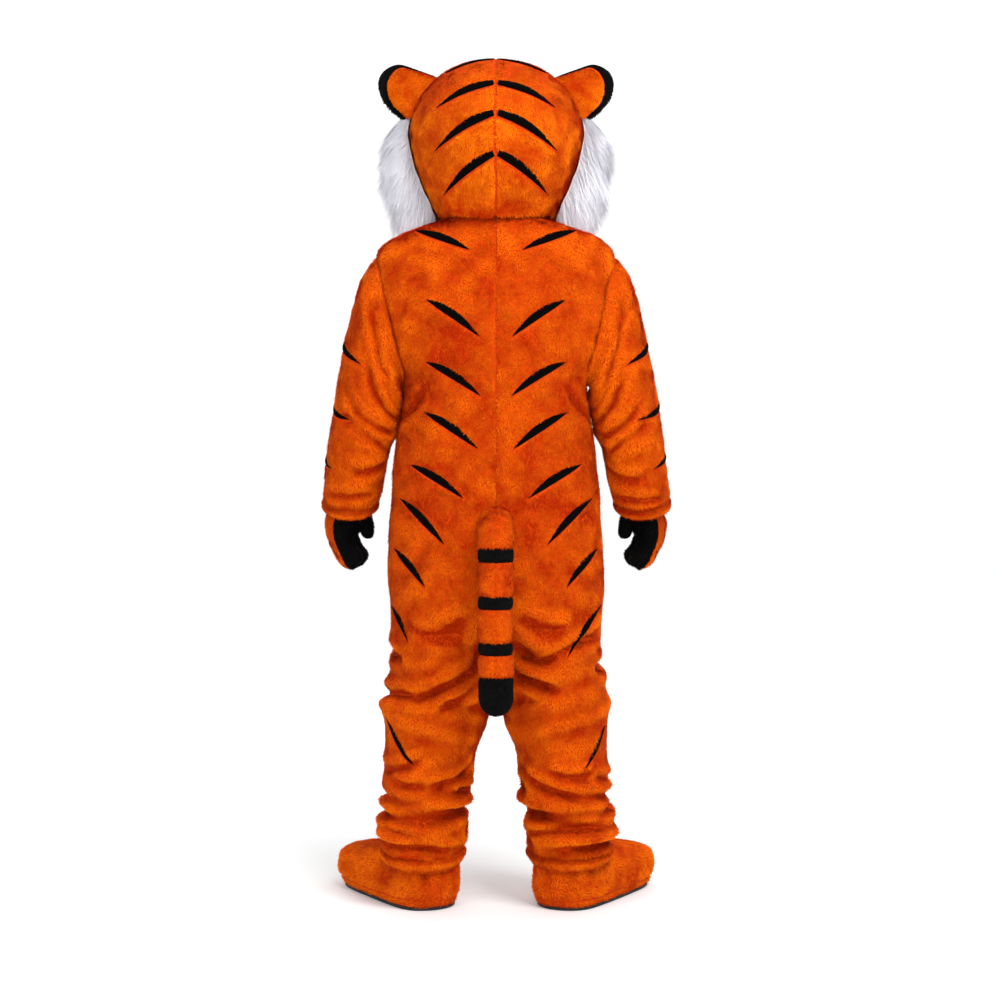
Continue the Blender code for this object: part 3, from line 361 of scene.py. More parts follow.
def body_plain(across, height):
    """across runs 0 back seam, 1 side, 2 front seam. All of it is the right half."""
    across, height = np.broadcast_arrays(across, height)
    outer, back, front = (read(BODY, name, height) for name in ("side", "back", "front"))
    inner = np.where(height < CROTCH, np.maximum(0, read(BODY, "inner", height)), 0)
    turn = across * math.pi / 2
    lean = -np.cos(turn)
    trunk_x = outer * np.abs(np.sin(turn)) ** 0.92
    trunk_y = np.sign(lean) * np.abs(lean) ** 0.92 * np.where(lean < 0, back, front)
    leg_x = (outer + inner) / 2 - (outer - inner) / 2 * np.cos(across * math.pi)
    leg_y = (front - back) / 2 - (front + back) / 2 * np.sin(across * math.pi)
    fallen = np.clip((SEAT - height) / (SEAT - CROTCH), 0, 1)
    seam = 1 - np.sqrt(np.maximum(0, 1 - fallen ** 2))
    beside = smoothstep(0, 0.4, np.minimum(across, 2 - across))
    split = seam + (fallen * fallen * (3 - 2 * fallen) - seam) * beside
    tilt = np.clip((HEM_TILT_FROM - height) / (HEM_TILT_FROM - HEM_TOP), 0, 1.2)
    return vec((1 - split) * trunk_x + split * leg_x, (1 - split) * trunk_y + split * leg_y,
               height + hem_rise(across) * tilt ** 2)


def armhole_spread(height):
    middle, half = (SHOULDER_TIP + ARMPIT) / 2, (SHOULDER_TIP - ARMPIT) / 2
    return ARMHOLE_SPREAD * np.sqrt(np.maximum(0, 1 - ((height - middle) / half) ** 2))


def outward(points, around=False, inside=None):
    """Normals of a grid of points, from its neighbours both ways, turned away from the inside."""
    if around:
        wide = np.concatenate([points[:, -2:-1], points, points[:, 1:2]], axis=1)
        across = wide[:, 2:] - wide[:, :-2]
    else:
        across = np.gradient(points, axis=1)
    along = np.gradient(points, axis=0)
    normal = np.cross(across, along)
    length = np.linalg.norm(normal, axis=-1, keepdims=True)
    normal = normal / np.maximum(length, 1e-9)
    for row in (0, -1):
        flat = length[row, :, 0] < 1e-3
        normal[row][flat] = normal[1 if row == 0 else -2][flat]
    if inside is None:
        inside = points.mean(axis=1, keepdims=True)
    if ((points - inside) * normal).sum() < 0:
        normal = -normal
    return normal


def trunk_inside(points):
    """A place inside the body for each row of a panel: halfway out to its side, and in the middle."""
    inside = points.mean(axis=1, keepdims=True)
    inside[..., 0] = points[..., 0].max(axis=1, keepdims=True) * 0.5
    inside[..., 1] = 0
    return inside


# %% [markdown]
# ## Folds
# Heavy plush does not crease sharply. Where it has too much length it bunches into soft troughs with a
# low ridge on each side. Each row below is one trough from one place to another, with how much it sags
# in the middle. They are uneven on purpose: cloth never folds the same way twice on the two legs.

# %% Fold tables
CREASES = table("side across_1 height_1 across_2 height_2 sag width depth", [
    (-1, 0.10, -880, 0.62, -985, -10, 15, 9), (-1, 0.62, -985, 1.10, -1000, 12, 13, 6),
    (-1, 0.15, -815, 0.55, -850, -14, 18, 6), (-1, 0.80, -905, 1.15, -868, -6, 13, 7),
    (-1, 0.20, -930, 0.50, -1010, -8, 14, 5), (-1, 0.55, -1120, 0.95, -1148, -8, 13, 5),
    (-1, 0.10, -1140, 0.45, -1175, -8, 14, 6), (-1, 0.30, -1172, 0.80, -1164, -8, 12, 4),
    (1, 0.10, -868, 0.58, -905, -12, 16, 8), (1, 0.10, -905, 0.52, -965, -6, 14, 9),
    (1, 0.45, -900, 0.92, -850, 10, 15, 6), (1, 0.12, -815, 0.45, -838, -10, 15, 6),
    (1, 0.86, -930, 1.20, -905, -6, 13, 7), (1, 0.40, -1150, 0.72, -1150, -7, 12, 5),
    (1, 0.16, -1160, 0.60, -1196, -6, 13, 6), (1, 0.75, -1160, 1.05, -1172, -6, 12, 5),
    (-1, 0.55, -335, 0.93, -395, -10, 15, 5), (1, 0.55, -330, 0.93, -390, -10, 15, 5),
    (-1, 0.35, -560, 0.80, -585, -10, 26, 2.5), (1, 0.35, -575, 0.80, -590, -12, 26, 2.5),
    (-1, 0.42, -690, 0.85, -735, -16, 22, 3.5), (1, 0.40, -700, 0.85, -742, -16, 22, 3.5),
    (-1, 1.10, -380, 1.50, -350, -12, 18, 4), (1, 1.10, -376, 1.50, -345, -12, 18, 4),
    (-1, 1.45, -905, 1.90, -870, -8, 15, 8), (1, 1.48, -915, 1.90, -872, -8, 15, 8),
    (-1, 1.20, -960, 1.80, -915, -8, 14, 7), (1, 1.15, -975, 1.80, -918, -8, 14, 7),
    (-1, 1.15, -650, 1.70, -690, -14, 24, 3), (1, 1.20, -660, 1.70, -700, -14, 24, 3),
    (-1, 1.30, -1130, 1.80, -1150, -8, 13, 5), (1, 1.25, -1140, 1.75, -1155, -8, 13, 5),
])
RINGS = table("side height tilt phase width depth vary vary_phase", [
    (-1, -1206, 10, 0.4, 11, 7, 0.45, 0.2), (-1, -1240, 9, 2.0, 11, 10, 0.40, 1.6),
    (-1, -1272, 8, 3.6, 10, 9, 0.50, 3.3), (-1, -1300, 5, 5.0, 9, 9, 0.45, 4.4),
    (1, -1200, 11, 1.4, 11, 7, 0.45, 2.2), (1, -1234, 9, 3.4, 11, 10, 0.45, 0.6),
    (1, -1268, 9, 5.2, 10, 10, 0.45, 5.0), (1, -1299, 5, 0.7, 9, 9, 0.45, 2.9),
])
MM_PER_QUARTER = 300.0      # width of a quarter turn of the body


def trough(away, width):
    """A soft valley with a low ridge on each side, for distances from its middle."""
    share = away / width
    return (-np.exp(-share ** 2) + 0.45 * np.exp(-((share - 2.0) / 1.1) ** 2)
            + 0.45 * np.exp(-((share + 2.0) / 1.1) ** 2))


def crease_lift(x, y, rows):
    """The sum of the troughs of a table, at places x and y in millimetres on the flat piece."""
    lift = np.zeros(np.broadcast(x, y).shape)
    for x1, y1, x2, y2, sag, width, depth in rows:
        run = math.hypot(x2 - x1, y2 - y1)
        ax, ay = (x2 - x1) / run, (y2 - y1) / run
        t = ((x - x1) * ax + (y - y1) * ay) / run
        inside = np.clip(t, 0, 1)
        away = -(x - x1) * ay + (y - y1) * ax - sag * 4 * inside * (1 - inside)
        lift += depth * trough(away, width) * smoothstep(-0.12, 0.22, t) * smoothstep(1.12, 0.78, t)
    return lift


def crease_rows(creases, side, x, y, x_mm, y_mm, narrow=1.0):
    """One side's creases in millimetres on the flat piece. x and y name the columns of their two ends."""
    return [(c[f"{x}_1"] * x_mm, c[f"{y}_1"] * y_mm, c[f"{x}_2"] * x_mm, c[f"{y}_2"] * y_mm, c["sag"],
             narrow * c["width"], c["depth"]) for _, c in rows_of(creases, side)]


def near(away, width):
    """1 at a place and nearly 0 from two widths away, such as the pull of a seam on the cloth beside it."""
    return np.exp(-(away / width) ** 2)


def body_lift(across, height, side, points):
    """How far the folds move the body's skin outward."""
    lift = np.zeros(across.shape)
    for _, fold in rows_of(BODY_FOLDS, side):
        away = (across - fold["across"]) / fold["reach"]
        over = (height - fold["height"] - fold["slope"] * (across - fold["across"])) / fold["tall"]
        lift += 0.6 * fold["depth"] * np.exp(-away ** 2 - over ** 2)
    round_body = across * MM_PER_QUARTER
    rows = crease_rows(CREASES, side, "across", "height", MM_PER_QUARTER, 1.0, 0.85)
    lift += crease_lift(round_body, height, rows)
    fade = np.where(height > CROTCH - 30, np.clip(6 * np.minimum(across, 2 - across), 0, 1), 1)
    lift *= fade * (1.25 + 1.15 * smoothstep(-780, -880, height))
    turn = across * math.pi
    for _, ring in rows_of(RINGS, side):
        middle = ring["height"] + ring["tilt"] * np.sin(turn + ring["phase"])
        middle = middle + 0.5 * ring["tilt"] * np.sin(2 * turn + ring["vary_phase"])
        strength = 1 - ring["vary"] + ring["vary"] * np.sin(turn * 2 + ring["vary_phase"])
        lift += 2.3 * ring["depth"] * strength * trough(height - middle, 0.95 * ring["width"])
    world = points * to_side(side)
    quiet = smoothstep(60, -40, height)
    lift += quiet * (3.0 * noise(world, 110, 3) + 2.2 * noise(world, 48, 4) + 1.0 * noise(world, 24, 5))
    seams = (near(round_body, 5) + near(2 * MM_PER_QUARTER - round_body, 5)
             + 0.6 * near(round_body - MM_PER_QUARTER, 5))
    edge = (np.abs(across - 1) - armhole_spread(height)) * MM_PER_QUARTER
    beside = np.where((height < SHOULDER_TIP + 12) & (height > ARMPIT - 12), near(edge, 9), 0)
    lift = lift + 6.0 * np.exp(-((across - 1) / 0.3) ** 2 - ((height + 385) / 50) ** 2)
    return lift - 2.0 - 2.2 * seams - 4.5 * beside - 3.5 * near(height - HEM_TOP, 7)


# %% [markdown]
# ## Cloth sheets
# `bmesh.ops.create_grid` makes the flat cut piece. Its points are then wrapped on the form, and a
# Solidify modifier gives it the thickness of plush backing and pile. A tube, such as a sleeve, is a
# sheet whose two long edges meet, so its doubles are merged.

# %% Wrapping a flat grid on a form
PIECES = {}
SHEETS = {}     # the grid of each cloth piece, in millimetres of the right half


def sheet_piece(name, points, side, cloth, nodes=None, thickness=3.0, around=False, inside=None):
    """A cloth piece from a grid of points. It replaces its own node, or the nodes given."""
    look, slot = CLOTHS[cloth][:2]
    rows, columns = points.shape[0], points.shape[1]
    flat_mesh = bmesh.new()
    flat_mesh.loops.layers.uv.new("cut")
    bmesh.ops.create_grid(flat_mesh, x_segments=columns - 1, y_segments=rows - 1, size=1, calc_uvs=True)
    mesh = bpy.data.meshes.new(name)
    flat_mesh.to_mesh(mesh)
    flat_mesh.free()
    flat = np.empty(len(mesh.vertices) * 3, np.float32)
    mesh.vertices.foreach_get("co", flat)
    flat = flat.reshape(-1, 3)
    column = np.rint((flat[:, 0] + 1) / 2 * (columns - 1)).astype(int)
    row = np.rint((flat[:, 1] + 1) / 2 * (rows - 1)).astype(int)
    placed = points[row, column] * to_side(side) * MM
    mesh.vertices.foreach_set("co", placed.astype(np.float32).ravel())
    mesh.update()
    shape = bmesh.new()
    shape.from_mesh(mesh)
    if around or nearly_closed(points):
        bmesh.ops.remove_doubles(shape, verts=shape.verts, dist=0.00004)
    middle = rows // 2, columns // 2
    facing = Vector(outward(points, around, inside)[middle] * to_side(side))
    spot = Vector(points[middle] * to_side(side) * MM)
    shape.faces.ensure_lookup_table()
    nearest = min(shape.faces, key=lambda face: (face.calc_center_median() - spot).length)
    if nearest.normal.dot(facing) < 0:
        bmesh.ops.reverse_faces(shape, faces=shape.faces)
    shape.to_mesh(mesh)
    shape.free()
    for face in mesh.polygons:
        face.use_smooth = True
    piece = bpy.data.objects.new(name, mesh)
    bpy.context.scene.collection.objects.link(piece)
    if thickness:
        solid = piece.modifiers.new("thickness of the cloth", "SOLIDIFY")
        solid.thickness = thickness * MM
        solid.offset = -1
        SHEETS[name] = points
    mesh.materials.append(MATERIALS[look])
    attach(piece, "root")
    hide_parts(*([name] if nodes is None else nodes))
    PIECES[name] = piece
    return piece


def nearly_closed(points):
    """True when a grid's first or last row is one point."""
    return any(np.linalg.norm(points[row] - points[row, :1], axis=-1).max() < 0.01 for row in (0, -1))


def flat_area(points):
    """Area of a grid of points, in square metres."""
    a = points[1:, :-1] - points[:-1, :-1]
    b = points[:-1, 1:] - points[:-1, :-1]
    return float(np.linalg.norm(np.cross(a, b), axis=-1).sum()) * 1e-6


# %% [markdown]
# ## Plush as real strands
# Short plush is a woven back with cut pile, brushed so that it lies down and swirls. Shading alone looks
# like painted plastic, so the pile is built: many small tapered blades, each rooted in the cloth and
# leaning with the nap. One mesh holds the blades of one piece. Each blade carries its colour, darker at
# the root and lighter where a tuft stands up.

# %% Growing a coat
def turned(direction, normal, angle):
    """Directions in the surface, turned about its normal."""
    return direction * np.cos(angle)[:, None] + np.cross(normal, direction) * np.sin(angle)[:, None]


def dips(points, normal):
    """How far each point lies under its neighbours, in millimetres: over 0 in a fold's trough, where the pile gets
    painted shade.
    """
    wide = np.pad(points, ((3, 3), (3, 3), (0, 0)), mode="edge")
    near = (wide[:-6, 3:-3] + wide[6:, 3:-3] + wide[3:-3, :-6] + wide[3:-3, 6:]) / 4
    dip = ((near - points) * normal).sum(axis=-1)
    dip[:3], dip[-3:], dip[:, :3], dip[:, -3:] = 0, 0, dip[:, 3:4], dip[:, -4:-3]
    return dip


def cells(values):
    """The four corners of each cell of a grid."""
    corners = [values[:-1, :-1], values[:-1, 1:], values[1:, :-1], values[1:, 1:]]
    return np.stack(corners, axis=2).reshape(-1, 4, values.shape[-1])


def grown_roots(grids, count, rng):
    """Random roots spread evenly over some grids, with their normals and dips."""
    corners = np.concatenate([cells(points) for points, _ in grids])
    normals = np.concatenate([cells(np.concatenate([normal, dips(points, normal)[..., None]], axis=-1))
                              for points, normal in grids])
    areas = sum(np.linalg.norm(np.cross(corners[:, 1] - corners[:, k], corners[:, 2] - corners[:, k]), axis=1)
                for k in (0, 3))
    cell = rng.choice(len(areas), size=count, p=areas / areas.sum())
    s, t = rng.random(count)[:, None], rng.random(count)[:, None]
    weights = [(1 - s) * (1 - t), s * (1 - t), (1 - s) * t, s * t]
    place, both = (sum(values[cell, k] * weights[k] for k in range(4)) for values in (corners, normals))
    return place, unit(both[:, :3]), both[:, 3]


def in_marks(place, marks):
    """True for places inside a stripe. marks holds rows of points with a half width for each."""
    inside = np.zeros(len(place), bool)
    for line, half in marks:
        low, high = line.min(0) - 12, line.max(0) + 12
        close = np.where(((place > low) & (place < high)).all(axis=1))[0]
        if len(close):
            gap = np.linalg.norm(place[close, None] - line[None], axis=2) - (half[None] + BARE_EDGE)
            inside[close[(gap < 0).any(axis=1)]] = True
    return inside


def down_flow(place, normal):
    """Brushed downward along the cloth. Every flow takes the places too, and this one has no use for them."""
    down = np.array([0, 0, -1.0]) - normal * (-normal[:, 2:3])
    return unit(down + 1e-6)


BLADES = 1.0     # share of the blades that are grown
BARE_EDGE = 3.0         # mm round a stripe with no roots
ROOT_DEPTH = 0.8        # mm of a blade under the skin
# Random spread from blade to blade: its way and its lean (radians, degrees), its length and tone (shares).
WAY_SPREAD, LEAN_SPREAD, LENGTH_SPREAD, TONE_SPREAD = 0.16, 4.5, 0.14, 0.06
# Red, green and blue shares of painted light and shade on the orange pile. Painted shade makes the pile darker
# and redder from the ribs down, where less light falls, and painted light makes the head's pile yellower.
PAINTED_SHADE_LOSS = np.array([0.11, 0.18, 0.30])
PAINTED_HEAD_LIGHT = np.array([0.0, 0.16, 0.0])


def coat(name, grids, count, length, width, cloth, seed, flow=down_flow, marks=(), lean=24, swirl=(0.6, 0.8),
         curl=False, thin=None, clump=15.0):
    """One mesh of blades of a length and width in millimetres. Curled ones have a bend half way."""
    _, slot, look, colours = CLOTHS[cloth]
    rng = np.random.default_rng(seed)
    place, normal, dip = grown_roots(grids, int(count * BLADES), rng)
    keep = ~in_marks(place, marks) if len(marks) else np.ones(len(place), bool)
    if thin is not None:
        keep &= rng.random(len(place)) < thin(place)
    place, normal, dip = place[keep], normal[keep], dip[keep]
    direction = flow(place, normal)
    angle = swirl[0] * noise(place, 62, seed) + swirl[1] * noise(place, 21, seed + 1)
    angle = angle + rng.normal(0, WAY_SPREAD, len(place))
    direction = turned(direction, normal, angle)
    tuft = noise(place, clump, seed + 2)
    tilt = np.radians(lean + 9 * tuft + rng.normal(0, LEAN_SPREAD, len(place)))[:, None]
    varied = 1 + 0.18 * noise(place, 30, seed + 3) + rng.normal(0, LENGTH_SPREAD, len(place))
    long = (length * varied)[:, None]
    wide = np.cross(normal, direction) * (width / 2)
    root = place - normal * ROOT_DEPTH
    patch = noise(place, 34, seed + 5) + 0.6 * noise(place, 80, seed + 6)
    tone = 0.5 + 0.26 * tuft + 0.18 * noise(place, 7.0, seed + 4) + 0.34 * patch
    # Painted shade in the troughs of folds and painted light on their ridges.
    tone = tone - 0.15 * np.clip(dip + 1.2, -3, 5)
    tone = np.clip(tone + rng.normal(0, TONE_SPREAD, len(place)), 0, 1)[:, None]
    root_dark, root_light, tip_dark, tip_light = (np.array(linear(code)[:3]) for code in colours)
    root_tone = root_dark + (root_light - root_dark) * tone
    tip_tone = tip_dark + (tip_light - tip_dark) * tone
    # Painted shade and light: the orange pile is darker from the ribs down, less so on the boots, and yellower on
    # the head.
    if cloth == "orange":
        height = place[:, 2:]
        painted_shade_share = smoothstep(-20, -260, height) * (1 - 0.6 * smoothstep(-1040, -1170, height))
        painted_light_and_shade = 1 - painted_shade_share * PAINTED_SHADE_LOSS + smoothstep(40, 90, height) * PAINTED_HEAD_LIGHT
        root_tone, tip_tone = root_tone * painted_light_and_shade, tip_tone * painted_light_and_shade
    if curl:
        middle = place + direction * long * 0.55 * np.cos(tilt) + normal * long * 0.55 * np.sin(tilt)
        drop = np.array([0, 0, -1.0]) * long * 0.10
        tip = place + direction * long * np.cos(tilt * 0.8) + normal * long * np.sin(tilt * 0.8) + drop
        mid_tone = (root_tone + tip_tone) / 2
        points = np.stack([root - wide, root + wide, middle - wide * 0.8, middle + wide * 0.8, tip], axis=1)
        tones = np.stack([root_tone, root_tone, mid_tone, mid_tone, tip_tone], axis=1)
        pattern = np.array([[0, 1, 3], [0, 3, 2], [2, 3, 4]])
    else:
        tip = place + direction * long * np.cos(tilt) + normal * long * np.sin(tilt)
        points = np.stack([root - wide, root + wide, tip], axis=1)
        tones = np.stack([root_tone, root_tone, tip_tone], axis=1)
        pattern = np.array([[0, 1, 2]])
    corners = points.shape[1]
    faces_of = (np.arange(len(place))[:, None, None] * corners + pattern[None]).reshape(-1, 3)
    mesh = bpy.data.meshes.new(name)
    mesh.vertices.add(len(place) * corners)
    mesh.vertices.foreach_set("co", (points.reshape(-1, 3) * MM).astype(np.float32).ravel())
    mesh.loops.add(len(faces_of) * 3)
    mesh.loops.foreach_set("vertex_index", faces_of.astype(np.int32).ravel())
    mesh.polygons.add(len(faces_of))
    mesh.polygons.foreach_set("loop_start", np.arange(0, len(faces_of) * 3, 3, dtype=np.int32))
    mesh.polygons.foreach_set("use_smooth", np.ones(len(faces_of), bool))
    colour = mesh.color_attributes.new("strand", "FLOAT_COLOR", "POINT")
    rgba = np.concatenate([tones.reshape(-1, 3), np.ones((len(place) * corners, 1))], axis=1)
    colour.data.foreach_set("color", rgba.astype(np.float32).ravel())
    mesh.update(calc_edges=True)
    mesh.validate()
    piece = bpy.data.objects.new(name, mesh)
    bpy.context.scene.collection.objects.link(piece)
    mesh.materials.append(MATERIALS[look])
    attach(piece, "root")
    PIECES[name] = piece
    print(f"{name}: {len(place)} blades")


# %% [markdown]
# ## The suit's back and front
# Four panels, each from the neck to the ankle. The armhole is left open between the back and the front of
# each half. Its edge is a lens in the cloth's own measures, so that both panels and the sleeve share it.

# %% Suit panels
ROWS, COLUMNS = ((168, 38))
OVERLAP = 0.3       # mm that each half reaches past the middle, so that no light shows through the seam
HEIGHTS = np.concatenate([
    np.linspace(60, -860, ROWS // 2), np.linspace(-869, -1120, ROWS // 4), np.linspace(-1125, HEM_TOP, ROWS // 4)])


def at_middle(across):
    return (across == 0) | (across == 2)


def kept_to_half(points, at_seam):
    """A half's grid with its seam points just past the middle and no other point beyond it."""
    points[..., 0] = np.where(at_seam, -OVERLAP, np.maximum(points[..., 0], 0.15))
    return points


def body_points(across, height, side):
    plain = body_plain(across, height)
    normal = outward(plain, inside=trunk_inside(plain))
    normal[..., 0] = np.where(at_middle(across), 0, normal[..., 0])
    moved = plain + unit(normal) * body_lift(across, height, side, plain)[..., None]
    return kept_to_half(moved, at_middle(across) & (height >= CROTCH))


def panel_grid(part):
    height = HEIGHTS[:, None]
    spread = armhole_spread(height)
    begin, end = (0, 1 - spread) if part == "back" else (1 + spread, 2)
    across = begin + (end - begin) * np.linspace(0, 1, COLUMNS + 1)[None, :]
    return across, height + 0 * across


for word, side in SIDES.items():
    for part in ("back", "front"):
        points = body_points(*panel_grid(part), side)
        sheet_piece(f"{part}_{word}", points, side, "orange", inside=trunk_inside(points))
        print(f"{part}_{word}: {flat_area(points):.3f} m2")


# %% [markdown]
# ## Leg hems
# Each leg ends in a turned hem band, stuffed a little by its own folded edge. It is one strip round the leg.

# %% Leg hem bands
def turned_band(columns, swell, taper, pucker, step):
    """The way down a band, as shares, and how far it stands out. It puckers where it is sewn on."""
    share = np.linspace(0, 1, 10)[:, None]
    bulge = swell * np.sin(np.pi * np.clip(share * 1.15, 0, 1)) ** 0.6 - taper * share
    return share, (bulge + pucker * np.sin(np.arange(columns) * step) * near(share, 0.25))[..., None]


for word, side in SIDES.items():
    across = np.linspace(0, 2, 2 * COLUMNS + 1)[None, :]
    edge_rows = body_points(np.concatenate([across, across]), np.array([[HEM_TOP + 4], [HEM_TOP]]) + 0 * across,
                            side)
    level = outward(edge_rows, True)
    level[..., 2] = 0
    level = unit(level)[1]
    share, bulge = turned_band(2 * COLUMNS + 1, 7.0, 2.0, 0.9, 2.4)
    points = edge_rows[1][None] + level[None] * bulge
    points[..., 2] -= HEM_BAND * share
    points += level[None] * (1.2 * noise(points * to_side(side), 30, 8))[..., None]
    sheet_piece(f"leg_band_{word}", points, side, "orange", around=True)


# %% [markdown]
# ## Sleeves
# A sleeve is one sheet sewn into a tube. Its first row is the armhole's edge and its rings then turn to lie
# square across the arm, which bends forward at the elbow. Creases are placed round the arm (turn, 0 at the
# outside, a quarter at the back) and along it (ring, 0 armhole to 9 cuff).

# %% Sizes and folds of the sleeves
SLEEVE = table("ring outer_x outer_z inner_x inner_z forward half_depth tilt", [
    (0, 262, -48, 203, -330, 0, 68, 0), (1, 288, -82, 207, -346, 2, 74, 0),
    (2, 305, -136, 211, -360, 4, 77, 1), (3, 323, -208, 216, -378, 7, 78, 3),
    (4, 340, -284, 221, -402, 11, 77, 6), (5, 352, -352, 226, -432, 17, 75, 10),
    (6, 363, -418, 231, -464, 27, 72, 15), (7, 371, -478, 238, -500, 40, 69, 20),
    (8, 378, -530, 247, -540, 55, 65, 24), (9, 383, -566, 256, -572, 67, 61, 25),
])
SLEEVE_CREASES = table("side turn_1 ring_1 turn_2 ring_2 sag width depth", [
    (-1, 165, 3.6, 85, 3.0, -8, 15, 7), (-1, 160, 4.5, 62, 4.6, -9, 14, 8), (-1, 150, 5.5, 40, 5.2, 9, 14, 6),
    (-1, 165, 6.5, 80, 6.9, -8, 13, 6), (-1, 140, 8.0, 30, 8.2, 6, 11, 5), (-1, 195, 4.2, 300, 3.6, 8, 15, 6),
    (-1, 200, 5.6, 290, 5.3, 8, 14, 6), (-1, 205, 7.4, 320, 7.8, 7, 12, 5), (-1, 60, 1.1, 130, 1.9, 8, 17, 4),
    (1, 165, 3.8, 92, 3.2, -8, 15, 7), (1, 158, 4.8, 70, 4.7, -9, 14, 8), (1, 145, 5.8, 48, 5.4, 9, 14, 6),
    (1, 165, 6.8, 75, 7.2, -8, 13, 6), (1, 150, 8.2, 40, 8.4, 6, 11, 5), (1, 195, 4.4, 300, 3.8, 8, 15, 6),
    (1, 200, 5.9, 290, 5.4, 8, 14, 6), (1, 205, 7.6, 320, 7.9, 7, 12, 5), (1, 55, 1.2, 125, 2.1, 8, 17, 4),
])
MM_ROUND_ARM = 1.25         # width of a degree round the arm
MM_PER_RING = 58.0          # length from one ring to the next
CUFF_BAND = 24.0
ARM_ROWS, ARM_COLUMNS = ((76, 52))


# %% Sleeves and cuff bands
def sleeve_plain(turn, ring):
    """turn runs from the shoulder over the back to the armpit and on round the front."""
    turn, ring = np.broadcast_arrays(turn, ring)
    outer = vec(read(SLEEVE, "outer_x", ring), 0, read(SLEEVE, "outer_z", ring))
    inner = vec(read(SLEEVE, "inner_x", ring), 0, read(SLEEVE, "inner_z", ring))
    tilt = np.radians(read(SLEEVE, "tilt", ring))
    depth = read(SLEEVE, "half_depth", ring)
    middle = (outer + inner) / 2 + vec(0, read(SLEEVE, "forward", ring), 0)
    point = (middle + (outer - inner) / 2 * np.cos(turn)[..., None]
             + vec(0, -np.cos(tilt) * depth, -np.sin(tilt) * depth) * np.sin(turn)[..., None])
    height = (SHOULDER_TIP + ARMPIT) / 2 + (SHOULDER_TIP - ARMPIT) / 2 * np.cos(turn)
    edge = body_plain(1 - np.sign(np.sin(turn) + 1e-9) * armhole_spread(height), height)
    share = smoothstep(0, 1.5, ring)[..., None]
    return edge * (1 - share) + point * share


def armhole_edge(turn, word):
    """The edge of the body's panels where a sleeve's first row is sewn."""
    height = (SHOULDER_TIP + ARMPIT) / 2 + (SHOULDER_TIP - ARMPIT) / 2 * np.cos(turn)
    back, front = (vec(*(np.interp(-height, -HEIGHTS, edge[:, axis]) for axis in range(3)))
                   for edge in (SHEETS[f"back_{word}"][:, -1], SHEETS[f"front_{word}"][:, 0]))
    return np.where((np.sin(turn) >= 0)[..., None], back, front)


def sleeve_points(turn, ring, side):
    plain = sleeve_plain(turn, ring)
    x = np.degrees(turn) * MM_ROUND_ARM
    rows = crease_rows(SLEEVE_CREASES, side, "turn", "ring", MM_ROUND_ARM, MM_PER_RING)
    lift = 1.35 * crease_lift(x, ring * MM_PER_RING, rows)
    world = plain * to_side(side)
    lift = lift + 2.2 * noise(world, 75, 11) + 1.3 * noise(world, 34, 12) + 0.6 * noise(world, 18, 13)
    pressed = np.clip(-np.cos(turn), 0, 1) ** 2 * smoothstep(0.4, 1.5, ring) * smoothstep(6.0, 4.4, ring)
    seams = 2.5 * near(ring, 0.14) + 3.5 * near(ring - 9, 0.12)
    lift = lift * smoothstep(0, 0.35, ring) + 14.0 * pressed - 2.0 - seams
    points = plain + outward(plain, True) * lift[..., None]
    meet = armhole_edge(turn[:1], SIDE_NAMES[side]) - points[:1]
    return points + meet * (1 - smoothstep(0, 0.7, ring))[..., None]


for word, side in SIDES.items():
    turn = np.linspace(0, 2 * math.pi, ARM_COLUMNS + 1)[None, :]
    ring = np.linspace(0, 9, ARM_ROWS + 1)[:, None]
    points = sleeve_points(*np.broadcast_arrays(turn, ring), side)
    sheet_piece(f"sleeve_{word}", points, side, "orange", around=True)
    down = unit((points[-1] - points[-4]).mean(axis=0))
    share, bulge = turned_band(ARM_COLUMNS + 1, 6.0, 1.5, 0.8, 2.5)
    band = points[-1][None] + down * (CUFF_BAND * share)[..., None] + outward(points, True)[-1][None] * bulge
    sheet_piece(f"cuff_{word}", band, side, "orange", around=True)
    print(f"sleeve_{word}: {flat_area(points):.3f} m2")


# %% [markdown]
# ## Tail
# The tail is stuffed. Its root leaves the seat and bends down within a hand's length. The lengths and bands
# are sewn end to end, so the tail is drawn in a little at every seam and swells between two.

# %% Tail
TAIL_RADIUS, TAIL_BEND, TAIL_TOP, TAIL_END = 36.0, 45.0, -578.0, -1012.0
TAIL_ROOT_Y = -152.0
TAIL_SUNK = 14.0        # how far the root starts inside the seat
TAIL_Y = TAIL_ROOT_Y - TAIL_BEND
TAIL_PARTS = (
    ("tail_root", -614, -661, "orange"), ("tail_band_1", -661, -691, "black"),
    ("tail_length_1", -691, -761, "orange"), ("tail_band_2", -761, -788, "black"),
    ("tail_length_2", -788, -857, "orange"), ("tail_band_3", -857, -883, "black"),
    ("tail_length_3", -883, -928, "orange"), ("tail_tip", -928, TAIL_END, "black"),
)
TAIL_COLUMNS = 49


